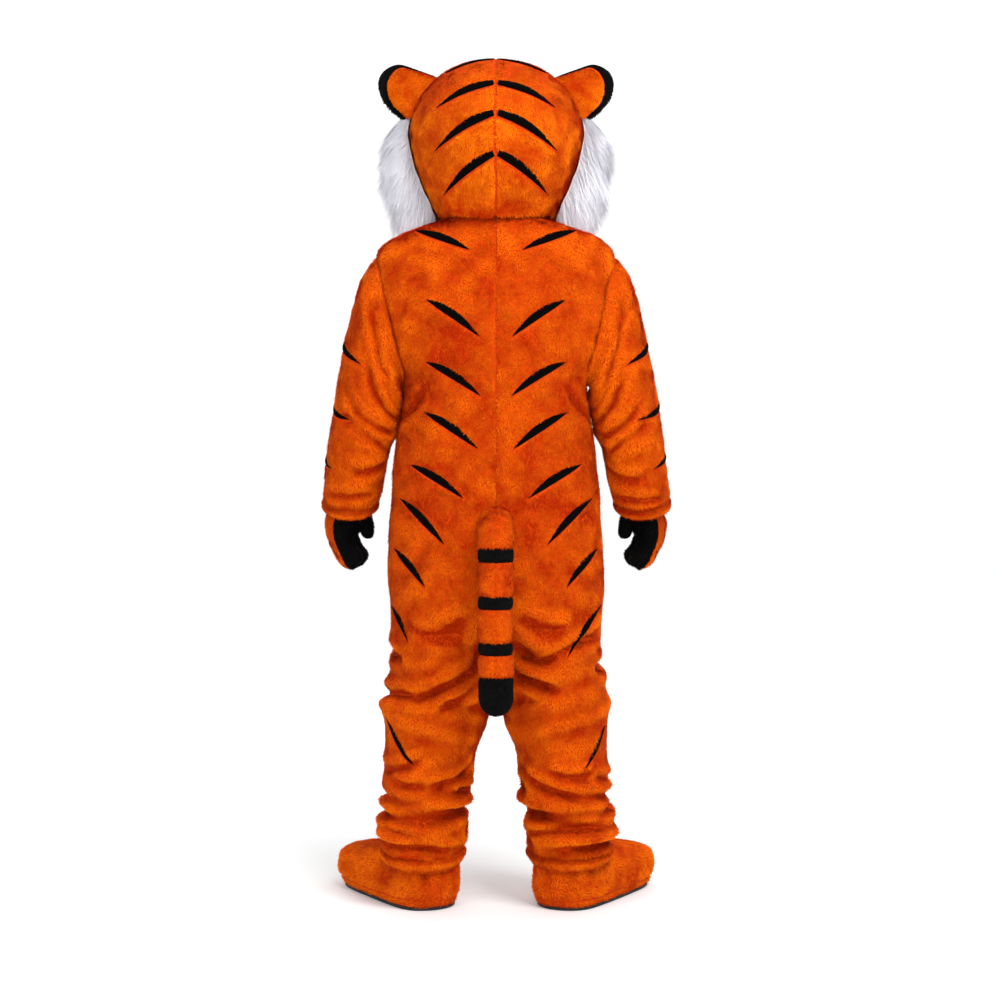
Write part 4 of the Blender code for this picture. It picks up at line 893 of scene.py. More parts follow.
def tail_points(name, top, bottom):
    turn = np.linspace(0, 2 * math.pi, TAIL_COLUMNS)[None, :]
    swell = 0.4
    if name == "tail_tip":
        angle = np.linspace(0, math.pi / 2, 14)[:, None]
        cap = TAIL_RADIUS * 1.1
        height = np.concatenate([np.linspace(top, TAIL_END + cap, 6)[:-1, None],
                                 TAIL_END + cap * (1 - np.sin(angle))])
        radius = np.concatenate([np.full((5, 1), TAIL_RADIUS), TAIL_RADIUS * np.cos(angle)])
        swell = swell - 3.0 * near(top - height, 5)
    else:
        height = np.linspace(top, bottom, 9 if name.startswith("tail_band") else 17)[:, None]
        radius = TAIL_RADIUS + 0 * height
        swell = swell - 3.0 * near(top - height, 5) - 3.2 * near(height - bottom, 5)
    radius = np.maximum(radius + np.where(radius > 12, swell, 0), 0)
    points = vec(radius * np.cos(turn), TAIL_Y - radius * np.sin(turn), height)
    if name == "tail_root":
        angle = np.linspace(0, math.pi / 2, 22)[:, None]
        aside, out = TAIL_RADIUS * np.cos(turn), TAIL_RADIUS * np.sin(turn)
        middle = TAIL_TOP - TAIL_RADIUS - TAIL_BEND
        bend = vec(aside, TAIL_ROOT_Y + TAIL_SUNK - (TAIL_BEND + out) * np.sin(angle) - TAIL_SUNK * np.sin(angle),
                   middle + (TAIL_BEND + out) * np.cos(angle))
        points = np.concatenate([bend, points[points[:, 0, 2] < middle - 1]])
    sway = 1.5 * np.sin((points[..., 2] + 600) / 95)
    points = points + vec(sway * smoothstep(-640, -800, points[..., 2]), 0, 0)
    lift = 1.6 * noise(points, 26, 21) + 0.8 * noise(points, 12, 22)
    seam = near((turn - math.pi / 2) * TAIL_RADIUS, 3.5)
    return points + outward(points, True) * (lift - 2.4 * seam)[..., None]


for name, top, bottom, cloth in TAIL_PARTS:
    points = tail_points(name, top, bottom)
    if name == "tail_tip":
        points[-1] = points[-1].mean(axis=0)
    piece = sheet_piece(name, points, 1.0, cloth, around=True)


# %% [markdown]
# ## Head
# The head is plush glued over foam, so it keeps a firm round form. Its hood has a centre back seam, and
# shallow dimples where the foam is pieced. The face is a separate panel set in front of the ears.

# %% Hood and face
HEAD_FORWARD = 18.0
HEAD = table("ring height half_width back front", [
    (0, 30, 128, 124, 118), (1, 70, 146, 152, 150), (2, 115, 165, 171, 172), (3, 160, 180, 184, 184),
    (4, 205, 187, 190, 190), (5, 250, 184, 187, 188), (6, 290, 170, 172, 175), (7, 322, 148, 150, 154),
    (8, 348, 119, 121, 126), (9, 366, 84, 86, 90), (10, 377, 45, 46, 50), (11, 380.5, 0, 0, 0),
])
FACE_EDGE = table("ring across", [
    (0, 1.40), (1, 1.38), (2, 1.37), (3, 1.38), (4, 1.41), (5, 1.47), (6, 1.58), (7, 1.76), (7.6, 1.93),
    (8, 2.0), (11, 2.0),
])
FACE_TOP_RING = 7.6
HEAD_WALL = 5.5
HEAD_ROWS, HEAD_COLUMNS = ((60, 44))


def head_plain(across, ring):
    across, ring = np.broadcast_arrays(across, ring)
    turn = across * math.pi / 2
    lean = -np.cos(turn)
    reach = np.where(lean < 0, read(HEAD, "back", ring), read(HEAD, "front", ring))
    rim = np.clip(1 - ring / 2, 0, 1) ** 2 * 11 * np.sin(turn) ** 2
    return vec(read(HEAD, "half_width", ring) * np.sin(turn), HEAD_FORWARD + lean * reach,
               read(HEAD, "height", ring) + rim)


def head_points(across, ring, side):
    plain = head_plain(across, ring)
    inside = vec(0, HEAD_FORWARD, plain[:, :1, 2] * 0.5 + 90)
    normal = unit(plain - inside) * 0.4 + outward(plain, inside=inside) * 0.6
    normal[..., 0] = np.where(at_middle(across), 0, normal[..., 0])
    world = plain * to_side(side)
    lift = 2.4 * noise(world, 80, 31) + 1.1 * noise(world, 36, 32) + 0.5 * noise(world, 17, 33)
    fade = smoothstep(0, 0.15, np.minimum(across, 2 - across))
    return plain + unit(normal) * (lift * (0.3 + 0.7 * fade) - 2.5 - 2.0 * near(across * 270, 5))[..., None]


for word, side in SIDES.items():
    ring = np.concatenate([np.linspace(0, FACE_TOP_RING, HEAD_ROWS * 3 // 4),
                           np.linspace(7.68, 11, HEAD_ROWS // 4 + 6)])[:, None]
    edge = np.where(ring < 8, read(FACE_EDGE, "across", np.minimum(ring, 8)), 2.0)
    across = edge * np.linspace(0, 1, HEAD_COLUMNS + 1)[None, :]
    points = kept_to_half(head_points(across, ring + 0 * across, side), at_middle(across))
    points[-1] = points[-1].mean(axis=0)
    sheet_piece(f"hood_{word}", points, side, "orange", thickness=HEAD_WALL, inside=[30, HEAD_FORWARD, 150])

ring = np.linspace(0, FACE_TOP_RING, HEAD_ROWS * 3 // 4)[:, None]
share = np.linspace(-1, 1, 49)[None, :]
across = 2 - (2 - read(FACE_EDGE, "across", ring)) * np.abs(share)
plain = head_plain(across, ring + 0 * across) * np.where(share < 0, -1, 1)[..., None] ** np.array([1, 0, 0])
normal = unit(plain - [0, HEAD_FORWARD, 180])
points = plain + normal * (2.0 * noise(plain, 70, 35) + 0.8 * noise(plain, 26, 36))[..., None]
sheet_piece("face", points, 1.0, "orange", thickness=HEAD_WALL, inside=[0, 0, 150])


# %% [markdown]
# ## Things laid on a skin
# Stripes, the muzzle, the nose and the eyes lie on another piece. A BVH tree of that piece answers where
# its skin is, seen straight from the back or the front, and which way it faces there.

# %% Finding a place on a skin
def skin_tree(grids):
    """A tree of quads over one or more grids of points, in world millimetres."""
    places, faces = [], []
    for points in grids:
        rows, columns = points.shape[:2]
        start = len(places)
        places.extend(map(tuple, points.reshape(-1, 3)))
        corner = start + np.arange(rows - 1)[:, None] * columns + np.arange(columns - 1)[None, :]
        faces.extend(map(tuple, np.stack([corner, corner + 1, corner + columns + 1, corner + columns],
                                         axis=-1).reshape(-1, 4).tolist()))
    return BVHTree.FromPolygons(places, faces)


def laid(tree, x, z, toward, lift):
    """Points over a skin. toward is 1 when looking along +Y from the back, -1 from the front."""
    points, normals = np.empty(x.shape + (3,)), np.empty(x.shape + (3,))
    for place in np.ndindex(x.shape):
        hit, normal, _, _ = tree.ray_cast(Vector((x[place], -900 * toward, z[place])), Vector((0, toward, 0)))
        if hit is None:
            hit, normal, _, _ = tree.find_nearest(Vector((x[place], -60 * toward, z[place])))
        if normal.y * toward > 0:
            normal = -normal
        points[place], normals[place] = hit, normal
    return points + normals * lift, normals


# %% Muzzle, nose and eyes
def dome(name, tree, middle, radii, height, cloth, thickness, sink, seed):
    """A round cap on the front of a skin, from its rim to its top."""
    share = np.sin(np.linspace(math.pi / 2, 0, 18))[:, None]
    turn = np.linspace(0, 2 * math.pi, 49)[None, :]
    x = middle[0] + radii[0] * share * np.cos(turn)
    z = middle[1] + radii[1] * share * np.sin(turn)
    base, normals = laid(tree, x, z, -1, -sink)
    facing = unit(normals.reshape(-1, 3).mean(axis=0))
    rise = np.sqrt(np.maximum(0, 1 - share ** 2))
    points = base + facing * (height * rise)[..., None]
    points = points + facing * (0.8 * noise(points, 20, seed) * rise)[..., None]
    points[-1] = points[-1].mean(axis=0)
    sheet_piece(name, points, 1.0, cloth, thickness=thickness, around=True,
                inside=points[0].mean(axis=0) - facing * 30)


face_tree = skin_tree([SHEETS["face"]])
dome("muzzle", face_tree, (0, 128), (78, 52), 52, "white", 4.0, 4.5, 41)
dome("nose", skin_tree([SHEETS["muzzle"]]), (0, 146), (24, 15), 15, "black", 1.2, 3.0, 42)
for word, side in SIDES.items():
    dome(f"eye_{word}", face_tree, (side * 52, 226), (23, 29), 12, "eye", 1.5, 2.6, 43)


# %% [markdown]
# ## Ears
# Each ear is an orange back sewn to a black front that is cut larger, so a black rim shows all round the
# back. Both are lightly stuffed leaves on the side of the head.

# %% Ears
EAR = table("step root_x root_z rim_x rim_z back_share", [
    (0, 138, 345, 146, 352, 0.9), (1, 146, 338, 180, 364, 0.95), (2, 155, 329, 216, 374, 0.93),
    (3, 163, 319, 245, 362, 0.86), (4, 171, 307, 258, 340, 0.82), (5, 178, 295, 255, 314, 0.80),
    (6, 184, 283, 240, 288, 0.78), (7, 188, 271, 218, 268, 0.76), (8, 191, 260, 199, 257, 0.9),
])
EAR_MIDDLE_Y, EAR_SKIN, EAR_BULGE = 14.0, 4.0, 13.0
# Each part's cloth, the way it faces, and its size beside the table's, where the black front is larger.
EAR_PARTS = (("back", "orange", -1, [0.97, 1, 0.95]), ("front", "black", 1, [1.03, 1, 1.05]))


def behind_ear(points, toward):
    """Places behind an ear's skin, for one that faces toward the front (1) or the back (-1)."""
    return points.mean(axis=1, keepdims=True) - [0, toward * 60, 0]


for word, side in SIDES.items():
    for part, cloth, toward, grow_by in EAR_PARTS:
        step = np.linspace(0, 8, 41)[:, None]
        share = np.linspace(0, 1, 17)[None, :]
        root = vec(read(EAR, "root_x", step) - 9, EAR_MIDDLE_Y, read(EAR, "root_z", step) + 1)
        rim = vec(read(EAR, "rim_x", step), EAR_MIDDLE_Y, read(EAR, "rim_z", step))
        if part == "back":
            rim = root + (rim - root) * read(EAR, "back_share", step)[..., None]
        points = root + (rim - root) * share[..., None]
        puff = EAR_BULGE * np.sin(math.pi * (0.12 + 0.76 * step / 8)) * np.cos(share * math.pi / 2) ** 0.7
        puff = puff + 1.0 * noise(points, 22, 51)
        points[..., 1] += toward * (0.4 + puff + EAR_SKIN)
        points = (points - [196, 0, 316]) * np.array(grow_by) + [190, 0, 310]
        sheet_piece(f"ear_{part}_{word}", points, side, cloth, thickness=EAR_SKIN,
                    inside=behind_ear(points, toward))


# %% [markdown]
# ## Gloves
# The glove is a soft mitt with a curled hand: orange on the back of the hand, black on the palm, the thumb
# and the ends of the fingers. Grooves part the four fingers.

# %% Gloves
GLOVE = table("station height middle_x middle_y half_thick half_broad", [
    (0, -566, 322, 66, 40, 40), (1, -592, 327, 79, 41, 43), (2, -618, 336, 92, 40, 49), (3, -646, 340, 104, 36, 54),
    (4, -672, 335, 113, 34, 54), (5, -696, 326, 119, 32, 49), (6, -714, 322, 122, 26, 38),
    (7, -725, 321, 123, 13, 20), (8, -728, 321, 123, 0, 0),
])
THUMB_STATION, THUMB_REACH = 1.6, 6.0
GLOVE_SEAM = math.radians(61)
GLOVE_WALL = 2.4


def glove_middle(station):
    return vec(read(GLOVE, "middle_x", station), read(GLOVE, "middle_y", station), read(GLOVE, "height", station))


def glove_points(turn, station, side):
    broad = read(GLOVE, "half_broad", station)
    thumb = np.exp(-((turn - math.pi * 0.93) / 0.62) ** 2 - ((station - THUMB_STATION) / 0.85) ** 2)
    middle = glove_middle(station)
    plain = middle + vec(read(GLOVE, "half_thick", station) * np.cos(turn) - THUMB_REACH * thumb,
                         -broad * np.sin(turn), 0)
    over = -np.sin(turn) * broad
    groove = sum(near(over - place * broad, 4.5) for place in (-0.5, 0.0, 0.5))
    start = np.where(np.cos(turn) > 0, smoothstep(3.2, 4.6, station), smoothstep(2.9, 3.8, station))
    world = plain * to_side(side)
    lift = 1.5 * noise(world, 34, 61) + 0.7 * noise(world, 16, 62)
    lift = lift - 7.0 * groove * start * smoothstep(8, 7, station)
    lift = lift - 4.0 * near(station - 3.15, 0.22) * near(turn - math.pi * 0.95, 0.75)
    lift = lift + 9.0 * near(station - 5.0, 0.8) * smoothstep(0.2, -0.6, np.cos(turn))
    return plain + outward(plain, inside=middle) * lift[..., None]


for word, side in SIDES.items():
    for part, first, last, cloth in (("back", -math.pi / 2, GLOVE_SEAM, "orange"),
                                     ("palm", GLOVE_SEAM, math.pi * 1.5, "black")):
        station = (8 * (1 - (1 - np.linspace(0, 1, 37)) ** 1.35))[:, None]
        turn = first + (last - first) * np.linspace(0.004, 0.996, 33)[None, :]
        points = glove_points(turn + 0 * station, station + 0 * turn, side)
        points[-1] = points[-1].mean(axis=0)
        sheet_piece(f"glove_{part}_{word}", points, side, cloth, thickness=GLOVE_WALL,
                    inside=glove_middle(station))
    along = np.linspace(0, 1, 25)[:, None]
    angle = along * math.pi
    turn = np.linspace(0, 2 * math.pi, 25)[None, :]
    radius = 17.5 * np.sin(angle) ** 0.55 * (0.86 + 0.18 * along)
    length = -np.cos(angle)
    thumb = vec(290 - 6 * length + radius * np.cos(turn), 86 + 8 * length + radius * np.sin(turn),
                -618 - 38 * length)
    thumb[0], thumb[-1] = thumb[0].mean(axis=0), thumb[-1].mean(axis=0)
    sheet_piece(f"glove_thumb_{word}", thumb, side, "black", [f"glove_palm_{word}"], GLOVE_WALL, around=True)


# %% [markdown]
# ## Boots
# A boot is a plush bootee on a thin flat sole. A stitched line runs round it just over the sole, a seam up
# the heel, and the plush gathers in short soft folds where the leg's hem presses on it.

# %% Boots and soles
BOOT = table("ring height heel_radius toe_ahead toe_radius", [
    (0, 7.4, 71, 204, 76), (1, 30, 78, 206, 86), (2, 56, 79, 206, 89), (3, 80, 78, 199, 84), (4, 94, 75, 178, 68),
    (5, 104, 72, 142, 52), (6, 110, 70, 88, 46), (7, 114, 69, 34, 52), (8, 121, 69, 9, 65), (9, 145, 69, 4, 68),
    (10, 172, 69, 3, 69),
])
BOOT_TURN, ANKLE_X, SOLE_TOP, BOOT_WALL = 32.0, 160.0, 7.0, 3.6
STITCHES_UP, GATHER_UP = 24, 92     # heights of the stitched line and of the middle of the short folds
BOOT_ROWS, BOOT_COLUMNS = ((46, 84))
SOLE_ROWS = ((0.0, 0.0), (0.985, 0.0), (1.0, 1.0), (1.006, 3.4), (1.0, SOLE_TOP - 0.8), (0.985, SOLE_TOP),
             (0.0, SOLE_TOP))       # share of the way out from the middle, and height


def boot_plain(turn, ring):
    """turn runs 0 toe, round the outside, to pi at the heel."""
    heel, toe, ahead = (read(BOOT, name, ring) for name in ("heel_radius", "toe_radius", "toe_ahead"))
    share = 0.5 + 0.5 * np.tanh(np.cos(turn) * 4)
    radius = heel + (toe - heel) * share
    forward, sideways = ahead * share + radius * np.cos(turn), radius * np.sin(turn)
    angle = math.radians(BOOT_TURN)
    return vec(ANKLE_X + forward * math.sin(angle) + sideways * math.cos(angle),
               forward * math.cos(angle) - sideways * math.sin(angle), FLOOR + read(BOOT, "height", ring))


for word, side in SIDES.items():
    turn = np.linspace(0, 2 * math.pi, BOOT_COLUMNS + 1)[None, :]
    ring = (10 * np.linspace(0, 1, BOOT_ROWS + 1) ** 1.15)[:, None]
    turn, ring = np.broadcast_arrays(turn, ring)
    plain = boot_plain(turn, ring)
    world = plain * to_side(side)
    height = read(BOOT, "height", ring)
    lift = 2.2 * noise(world, 60, 71) + 1.2 * noise(world, 28, 72) + 0.5 * noise(world, 15, 73)
    lift = lift - 3.0 * near(height - STITCHES_UP, 3.5) - 3.0 * near((turn - math.pi) * 75, 4)
    gather = np.sin(turn * 9 + 1.4 * np.sin(turn * 2 + side)) + 0.6 * np.sin(turn * 14 + 2.0 * side)
    lift = lift + 2.6 * gather * near(height - GATHER_UP, 30) * smoothstep(0.75, -0.2, np.cos(turn))
    points = plain + outward(plain, True) * (lift * smoothstep(0, 1.2, ring))[..., None]
    sheet_piece(f"boot_{word}", points, side, "orange", thickness=BOOT_WALL, around=True)
    edge = boot_plain(turn[:1], ring[:1])
    middle = edge.mean(axis=1, keepdims=True)
    sole = np.concatenate([middle + (edge - middle) * share for share, _ in SOLE_ROWS])
    sole[..., 2] = FLOOR + np.array([up for _, up in SOLE_ROWS])[:, None]
    sheet_piece(f"sole_{word}", sole, side, "sole", thickness=0, around=True)


# %% [markdown]
# ## Stripes
# The stripes are leaf shapes of smooth black cloth, sewn on in mirrored pairs that slope down toward the
# back seam. Those seen from the back are laid straight on the skin. Those that run round to the front are
# drawn along the sheet itself, between two places of its grid, so they follow the cloth round the body.

# %% Stripe tables
STRIPES = table("number outer_x outer_z inner_x inner_z thick bow", [
    (0, 169, 4, 56, -40, 16, 5), (1, 145, -145, 34, -223, 17, 8), (2, 146, -275, 32, -347, 17, 8),
    (3, 150, -381, 37, -458, 17, 7), (4, 180, -492, 68, -562, 17, 7), (5, 203, -564, 108, -659, 16, 6),
    (6, 215, -672, 149, -749, 15, 5),
])
STRIPE_NAMES = ("shoulder", "blade", "ribs", "waist", "loin", "hip", "thigh")
HEAD_STRIPES = table("number outer_x outer_z inner_x inner_z thick bow", [
    (0, 122, 256, 5, 303, 16, 9), (1, 126, 168, 5, 237, 18, 10), (2, 109, 79, 5, 155, 18, 9),
])
HEAD_STRIPE_NAMES = ("crown", "nape_high", "nape_low")
EXTRA_STRIPES = table("side piece outer_x outer_z inner_x inner_z thick bow", [
    (-1, 0, 223, -796, 186, -868, 11, 5), (1, 0, 225, -794, 152, -898, 12, 6),
    (-1, 0, 236, -1032, 175, -1133, 10, -9), (1, 0, 233, -1054, 190, -1138, 10, -8),
    (-1, 1, 106, 338, 5, 364, 6, 7), (1, 1, 106, 338, 5, 364, 6, 7),
])
ARM_STRIPES = table("side turn_1 ring_1 turn_2 ring_2 bend thick bow", [
    (-1, -40, 2.90, 72, 3.13, 0.42, 15, 4), (-1, -40, 4.90, 63, 5.18, 0.28, 15, 4),
    (-1, -40, 7.05, 41, 7.10, 0.05, 14, 3), (1, -40, 2.90, 80, 2.96, 0.50, 15, 4),
    (1, -40, 4.85, 77, 5.00, 0.33, 15, 4), (1, -40, 6.95, 58, 7.00, 0.00, 14, 3),
])
FRONT_STRIPES = table("side across_1 height_1 across_2 height_2 thick bow", [
    (-1, 1.15, -400, 1.72, -470, 17, 8), (1, 1.15, -400, 1.72, -470, 17, 8),
    (-1, 1.12, -520, 1.70, -600, 17, 8), (1, 1.12, -520, 1.70, -600, 17, 8),
    (-1, 1.12, -650, 1.68, -730, 17, 8), (1, 1.12, -650, 1.68, -730, 17, 8),
    (-1, 1.50, -150, 1.86, -215, 16, 7), (1, 1.50, -150, 1.86, -215, 16, 7),
    (-1, 1.46, -275, 1.84, -335, 16, 7), (1, 1.46, -275, 1.84, -335, 16, 7),
    (-1, 1.24, -1040, 1.62, -1118, 13, 6), (1, 1.24, -1052, 1.62, -1124, 13, 6),
    (-1, 1.24, -800, 1.66, -872, 14, 7), (1, 1.24, -798, 1.66, -874, 14, 7),
])
SEWN_ON = {}
marks = {group: {-1: [], 1: []} for group in ("back", "front", "sleeve", "hood")}


# %% Making stripes
STATIONS, ACROSS = ((32, 5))
ALONG = 0.5 - 0.5 * np.cos(math.pi * np.linspace(0.01, 0.99, STATIONS))
SPREAD = np.linspace(-1, 1, ACROSS)[None, :]
STRIPE_RISE, STRIPE_ROUND, STRIPE_THICK = 3.4, 2.0, 0.9     # mm over the skin, less at the edges, and thickness


def leaf(thick, share):
    """Half the width of a leaf along it: pointed at the ends, fullest before the middle."""
    return np.maximum(0.35, thick / 2 * np.sin(math.pi * share ** 0.92) ** 0.8)


def fang(thick, share):
    """Half the width of a stripe that starts as a point and ends blunt, cut off at a seam."""
    return np.maximum(0.35, thick / 2 * np.sin(math.pi * 0.78 * share) ** 0.85)


def stripe_piece(name, group, side, nodes, line, half, skin, normals, inward):
    """A stripe over a strip of places on a skin. line and half say where no pile grows."""
    marks[group][side].append((line, half))
    SEWN_ON.setdefault(f"{group}_{SIDE_NAMES[side]}", []).append(name)
    points = skin + normals * (STRIPE_RISE - STRIPE_ROUND * SPREAD ** 2)[..., None]
    sheet_piece(name, points, 1.0, "stripe", nodes, STRIPE_THICK,
                inside=points.mean(axis=1, keepdims=True) + inward)


def seen_stripe(name, tree, side, row, group, nodes=(), outline=leaf):
    x = row["outer_x"] + (row["inner_x"] - row["outer_x"]) * ALONG
    z = row["outer_z"] + (row["inner_z"] - row["outer_z"]) * ALONG + row["bow"] * np.sin(math.pi * ALONG)
    half = outline(row["thick"], ALONG)
    slope = unit(np.stack([np.gradient(x), np.gradient(z)], axis=-1))
    grid_x = side * (x[:, None] - slope[:, 1:] * SPREAD * half[:, None])
    grid_z = z[:, None] + slope[:, :1] * SPREAD * half[:, None]
    skin, normals = laid(tree, grid_x, grid_z, 1, 0)
    for _ in range(2):
        normals[1:-1] = unit(normals[1:-1] * 2 + normals[:-2] + normals[2:])
    stripe_piece(name, group, side, nodes, skin[:, ACROSS // 2], half, skin, normals, [0, 60, 0])


def sample(grid, row, column):
    """Points between the points of a grid, at fractional rows and columns."""
    row = np.clip(row, 0, grid.shape[0] - 1.001)
    column = np.clip(column, 0, grid.shape[1] - 1.001)
    r, c = row.astype(int), column.astype(int)
    s, t = (row - r)[..., None], (column - c)[..., None]
    return (grid[r, c] * (1 - s) * (1 - t) + grid[r + 1, c] * s * (1 - t) + grid[r, c + 1] * (1 - s) * t
            + grid[r + 1, c + 1] * s * t)


def sheet_stripe(name, grid, normals, side, ends, table_row, group, bend=0.0):
    """A stripe between two places of a grid, given as (row, column). bend moves its middle in rows."""
    start, end = ends
    row = start[0] + (end[0] - start[0]) * ALONG + bend * 4 * ALONG * (1 - ALONG)
    column = start[1] + (end[1] - start[1]) * ALONG
    line = sample(grid, row, column)
    up = unit(sample(normals, row, column))
    aside = unit(np.cross(up, unit(np.gradient(line, axis=0))))
    aside = aside * np.sign(aside[..., 2:3] + 1e-9)
    line = (line + aside * (table_row["bow"] * np.sin(math.pi * ALONG))[:, None]) * to_side(side)
    half = leaf(table_row["thick"], ALONG)
    aside, up = (aside * to_side(side))[:, None], (up * to_side(side))[:, None]
    skin = line[:, None] + aside * SPREAD[..., None] * half[:, None, None]
    stripe_piece(name, group, side, (), line, half, skin, up, -up * 40)


for word, side in SIDES.items():
    back_tree = skin_tree([SHEETS[f"back_{word}"] * to_side(side)])
    hood_tree = skin_tree([SHEETS[f"hood_{word}"] * to_side(side)])
    for stripes, names, tree, group, outline in ((STRIPES, STRIPE_NAMES, back_tree, "back", leaf),
                                                 (HEAD_STRIPES, HEAD_STRIPE_NAMES, hood_tree, "hood", fang)):
        for place, row in rows_of(stripes):
            name = f"stripe_{names[place]}_{word}"
            seen_stripe(name, tree, side, row, group, [name], outline)
    for place, row in rows_of(EXTRA_STRIPES, side):
        tree, group = (hood_tree, "hood") if row["piece"] else (back_tree, "back")
        seen_stripe(f"stripe_extra_{place}_{word}", tree, side, row, group)
    arm = SHEETS[f"sleeve_{word}"]
    twice_round = [np.concatenate([grid[:, :-1], grid], axis=1) for grid in (arm, outward(arm, True))]
    for place, row in rows_of(ARM_STRIPES, side):
        ends = [(row[f"ring_{k}"] / 9 * ARM_ROWS, (row[f"turn_{k}"] / 360 + 1) * ARM_COLUMNS) for k in (1, 2)]
        sheet_stripe(f"stripe_arm_{place}_{word}", *twice_round, side, ends, row, "sleeve",
                     row["bend"] / 9 * ARM_ROWS)
    front = SHEETS[f"front_{word}"]
    front_normals = outward(front, inside=trunk_inside(front))
    for place, row in rows_of(FRONT_STRIPES, side):
        ends = []
        for k in (1, 2):
            begin = 1 + float(armhole_spread(row[f"height_{k}"]))
            ends.append((float(np.interp(-row[f"height_{k}"], -HEIGHTS, np.arange(len(HEIGHTS)))),
                         (row[f"across_{k}"] - begin) / (2 - begin) * COLUMNS))
        sheet_stripe(f"stripe_front_{place}_{word}", front, front_normals, side, ends, row, "front")
print("stripes:", sum(name.startswith("stripe") for name in PIECES))


# %% [markdown]
# ## Cheek fur
# The long white fur of the cheeks starts behind the ears and hangs to the neck. A curved white sheet on
# the side of the head carries it. Long strands of three faces each bend down and out from that sheet, and
# a short coat between their roots hides the backing.

# %% Cheek fur backing
RUFF = table("height outer start_y end_y", [
    (256, 204, 16, 60), (232, 227, 2, 84), (194, 246, -8, 104), (152, 254, -14, 116), (112, 252, -16, 120),
    (78, 244, -14, 116), (50, 230, -4, 104), (34, 214, 10, 88),
])
RUFF_SHARE = 0.52           # how far out the backing stands in the fur
RUFF_INSIDE = [60, 50, 150]


def head_side(y, height):
    """Sideways distance of the head's skin at a height and a distance forward."""
    rings = np.linspace(0, 10, 300)
    ring = np.interp(height, head_plain(np.ones(300), rings)[:, 2], rings)
    reach = np.where(y > HEAD_FORWARD, read(HEAD, "front", ring), read(HEAD, "back", ring))
    share = np.clip(np.abs(y - HEAD_FORWARD) / reach, 0, 1)
    return read(HEAD, "half_width", ring) * np.sqrt(1 - share ** 2)


for word, side in SIDES.items():
    height = np.linspace(262, 30, 41)[:, None]
    share = np.linspace(0, 1, 29)[None, :]
    first, last = read(RUFF, "start_y", height), read(RUFF, "end_y", height)
    y = first + (last - first) * share
    skin = head_side(y, height + 0 * y)
    reach = (read(RUFF, "outer", height) - head_side((first + last) / 2, height)) * RUFF_SHARE
    points = vec(skin + 3 + reach * np.sin(math.pi * share) ** 0.7, y, height)
    points[..., 0] += 2.5 * noise(points, 24, 81)
    sheet_piece(f"ruff_{word}", points, side, "white", inside=RUFF_INSIDE)


# %% [markdown]
# ## Growing the plush
# The pile is brushed downward on the suit, outward from the crown on the head and toward the fingers and
# the toes. Inside a stripe no blade has its root, so the stripe's edge is broken by the blades over it.

# %% Coats of orange and black plush
def skins(names, side, around=False, inside=None):
    """World grids with their normals. inside is a place in the form, or a function that finds one."""
    made = []
    for name in names:
        points = SHEETS[name]
        core = inside(points) if callable(inside) else inside
        made.append((points * to_side(side), outward(points, around, core) * to_side(side)))
    return made


HEAD_CORE = [20, HEAD_FORWARD, 150]


def head_flow(place, normal):
    """Brushed away from the crown of the head."""
    away = place - np.array([0, 30, 380.0])
    along = away - normal * (away * normal).sum(axis=1, keepdims=True)
    return unit(along + np.array([0, 0, -30.0]))


def boot_parting(place, side):
    """No pile under the hem, on the sole's edge, or right on the stitched line and the heel seam."""
    height = place[:, 2] - FLOOR
    angle = math.radians(BOOT_TURN)
    sideways = (place[:, 0] * side - ANKLE_X) * math.cos(angle) - place[:, 1] * math.sin(angle)
    ahead = (place[:, 0] * side - ANKLE_X) * math.sin(angle) + place[:, 1] * math.cos(angle)
    on_seam = (np.abs(height - STITCHES_UP - 1) < 3.0) | ((np.abs(sideways) < 2.4) & (ahead < 0))
    return (height > 11) & (height < 158) & ~on_seam


def toe_flow(place, normal):
    """Brushed down and toward the toe."""
    toe = np.array([1, 1.6, 0.0]) * np.sign(place[:, :1]) ** np.array([1, 0, 0])
    along = toe + np.array([0, 0, -0.9])
    return unit(along - normal * (along * normal).sum(axis=1, keepdims=True))


def by_the_seam(place):
    """The pile parts at the middle seam, where a few of its roots are caught in the stitches."""
    return np.where(place[:, 2] < CROTCH + 40, 1.0, 0.05 + 0.95 * smoothstep(1.2, 4.0, np.abs(place[:, 0])))


def grow(piece, side, count, length, width, cloth, step, around=False, inside=None, **how):
    """The coat of one piece of a side. step keeps its random draws apart from the other pieces' draws."""
    seed = (100 if side < 0 else 200) + step
    coat(f"{piece}_pile", skins([piece], side, around, inside), count, length, width, cloth, seed, **how)


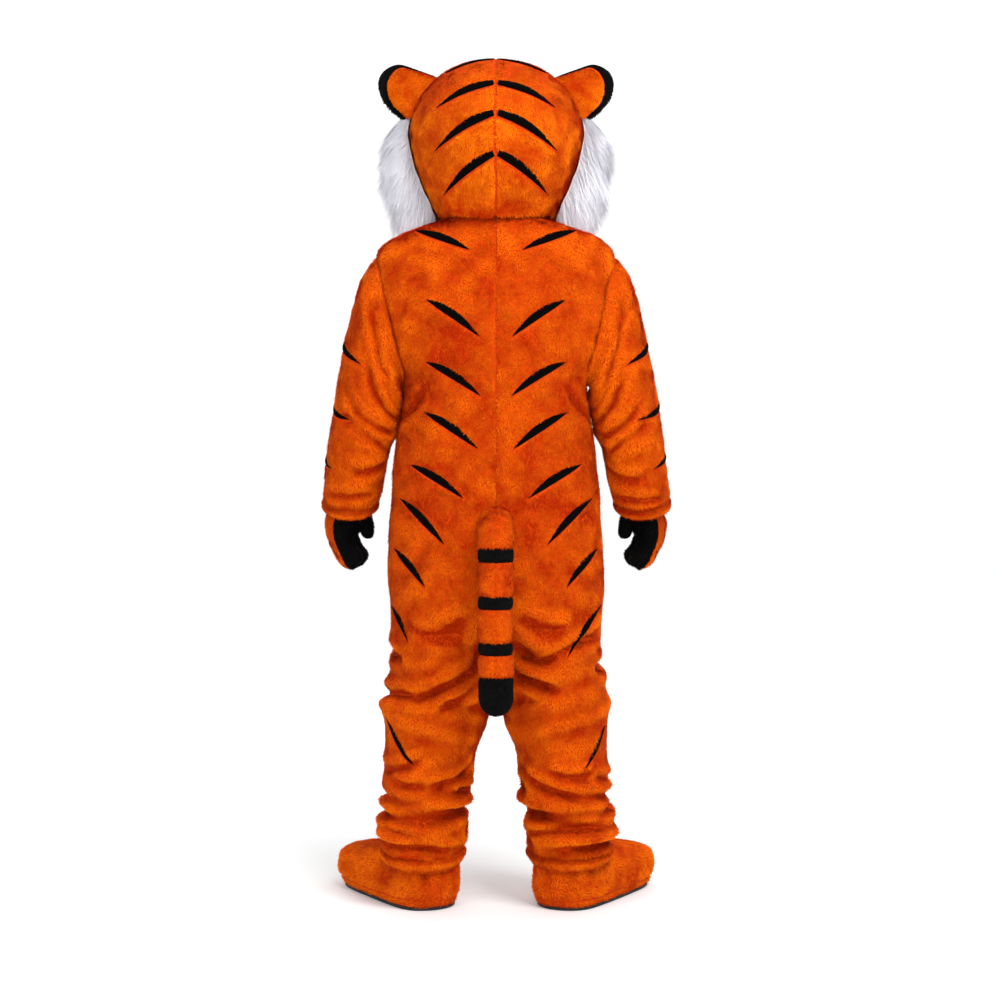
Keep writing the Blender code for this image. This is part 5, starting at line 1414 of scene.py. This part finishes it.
for word, side in SIDES.items():
    for part, count, width in (("back", 102000, 2.6), ("front", 42000, 3.2)):
        grow(f"{part}_{word}", side, count, 7.0, width, "orange", 0, inside=trunk_inside,
             marks=marks[part][side], thin=by_the_seam)
    grow(f"sleeve_{word}", side, 46000, 7.0, 2.6, "orange", 10, True, marks=marks["sleeve"][side])
    grow(f"hood_{word}", side, 42000, 7.5, 2.5, "orange", 20, inside=HEAD_CORE, flow=head_flow,
         marks=marks["hood"][side], lean=17, thin=by_the_seam)
    grow(f"boot_{word}", side, 22000, 8.0, 2.6, "orange", 30, True, flow=toe_flow,
         thin=lambda place: boot_parting(place, side))
    grow(f"cuff_{word}", side, 6000, 5.0, 2.3, "orange", 40, True)
    grow(f"leg_band_{word}", side, 8000, 5.0, 2.3, "orange", 40, True)
    grow(f"glove_back_{word}", side, 6500, 7.0, 2.3, "orange", 50)
    grow(f"glove_palm_{word}", side, 6500, 6.0, 2.3, "black", 60)
    grow(f"glove_thumb_{word}", side, 2500, 6.0, 2.3, "black", 65, True)
    for part, cloth, toward, _ in EAR_PARTS:
        grow(f"ear_{part}_{word}", side, 4500, 5.0, 2.3, cloth, 70,
             inside=lambda points: behind_ear(points, toward))

coat("face_pile", skins(["face"], 1, inside=HEAD_CORE), 10000, 8.0, 3.4, "orange", 301, head_flow)
for cloth, count, length in (("orange", 13000, 6.0), ("black", 7500, 3.6)):
    names = [name for name, _, _, part_cloth in TAIL_PARTS if part_cloth == cloth]
    coat(f"tail_{cloth}_pile", skins(names, 1, True), count, length, 2.2, cloth, 310)
coat("muzzle_pile", skins(["muzzle"], 1, True, [0, 100, 128]), 5000, 11.0, 2.6, "white", 320,
     thin=lambda place: 1 - np.exp(-((place[:, 0] / 24) ** 2 + ((place[:, 2] - 146) / 15) ** 2) ** 3))


# %% Long cheek fur
def cheek_flow(place, normal):
    """Down and outward from the ear to the neck."""
    side = np.sign(place[:, :1])
    fan = (150 - place[:, 2:3]) / 220
    along = np.concatenate([side * (0.55 - 0.35 * fan), 0 * side - 0.15, -0.95 - 0.2 * fan], axis=1)
    return unit(along - 0.4 * normal * (along * normal).sum(axis=1, keepdims=True))


for word, side in SIDES.items():
    roots = skins([f"ruff_{word}"], side, inside=RUFF_INSIDE)
    coat(f"ruff_{word}_short", roots, 7000, 24.0, 3.2, "white", 401, cheek_flow, swirl=(0.2, 0.2))
    coat(f"ruff_{word}_long", roots, 10500, 55.0, 1.9, "white", 402, cheek_flow, lean=16, swirl=(0.18, 0.18),
         curl=True, clump=26)
total = sum(len(piece.data.polygons) for name, piece in PIECES.items() if name.endswith(("pile", "short", "long")))
print("faces of the pile in all:", total)


# %% [markdown]
# ## The cut of each sheet
# The size of each piece as it lies flat is measured. The length is the longest line down the piece and the width
# the longest line across it. The suit hangs from the shoulders. The head, gloves and boots are drawn tight
# over foam, hands and felt.

# %% Measuring the sheets
def longest(points, axis):
    return float(np.linalg.norm(np.diff(points, axis=axis), axis=-1).sum(axis=axis).max()) / 1000


for name, points in SHEETS.items():
    if name.startswith(("stripe", "tail", "muzzle", "nose", "eye")):
        continue
    width, length = longest(points, 1), longest(points, 0)
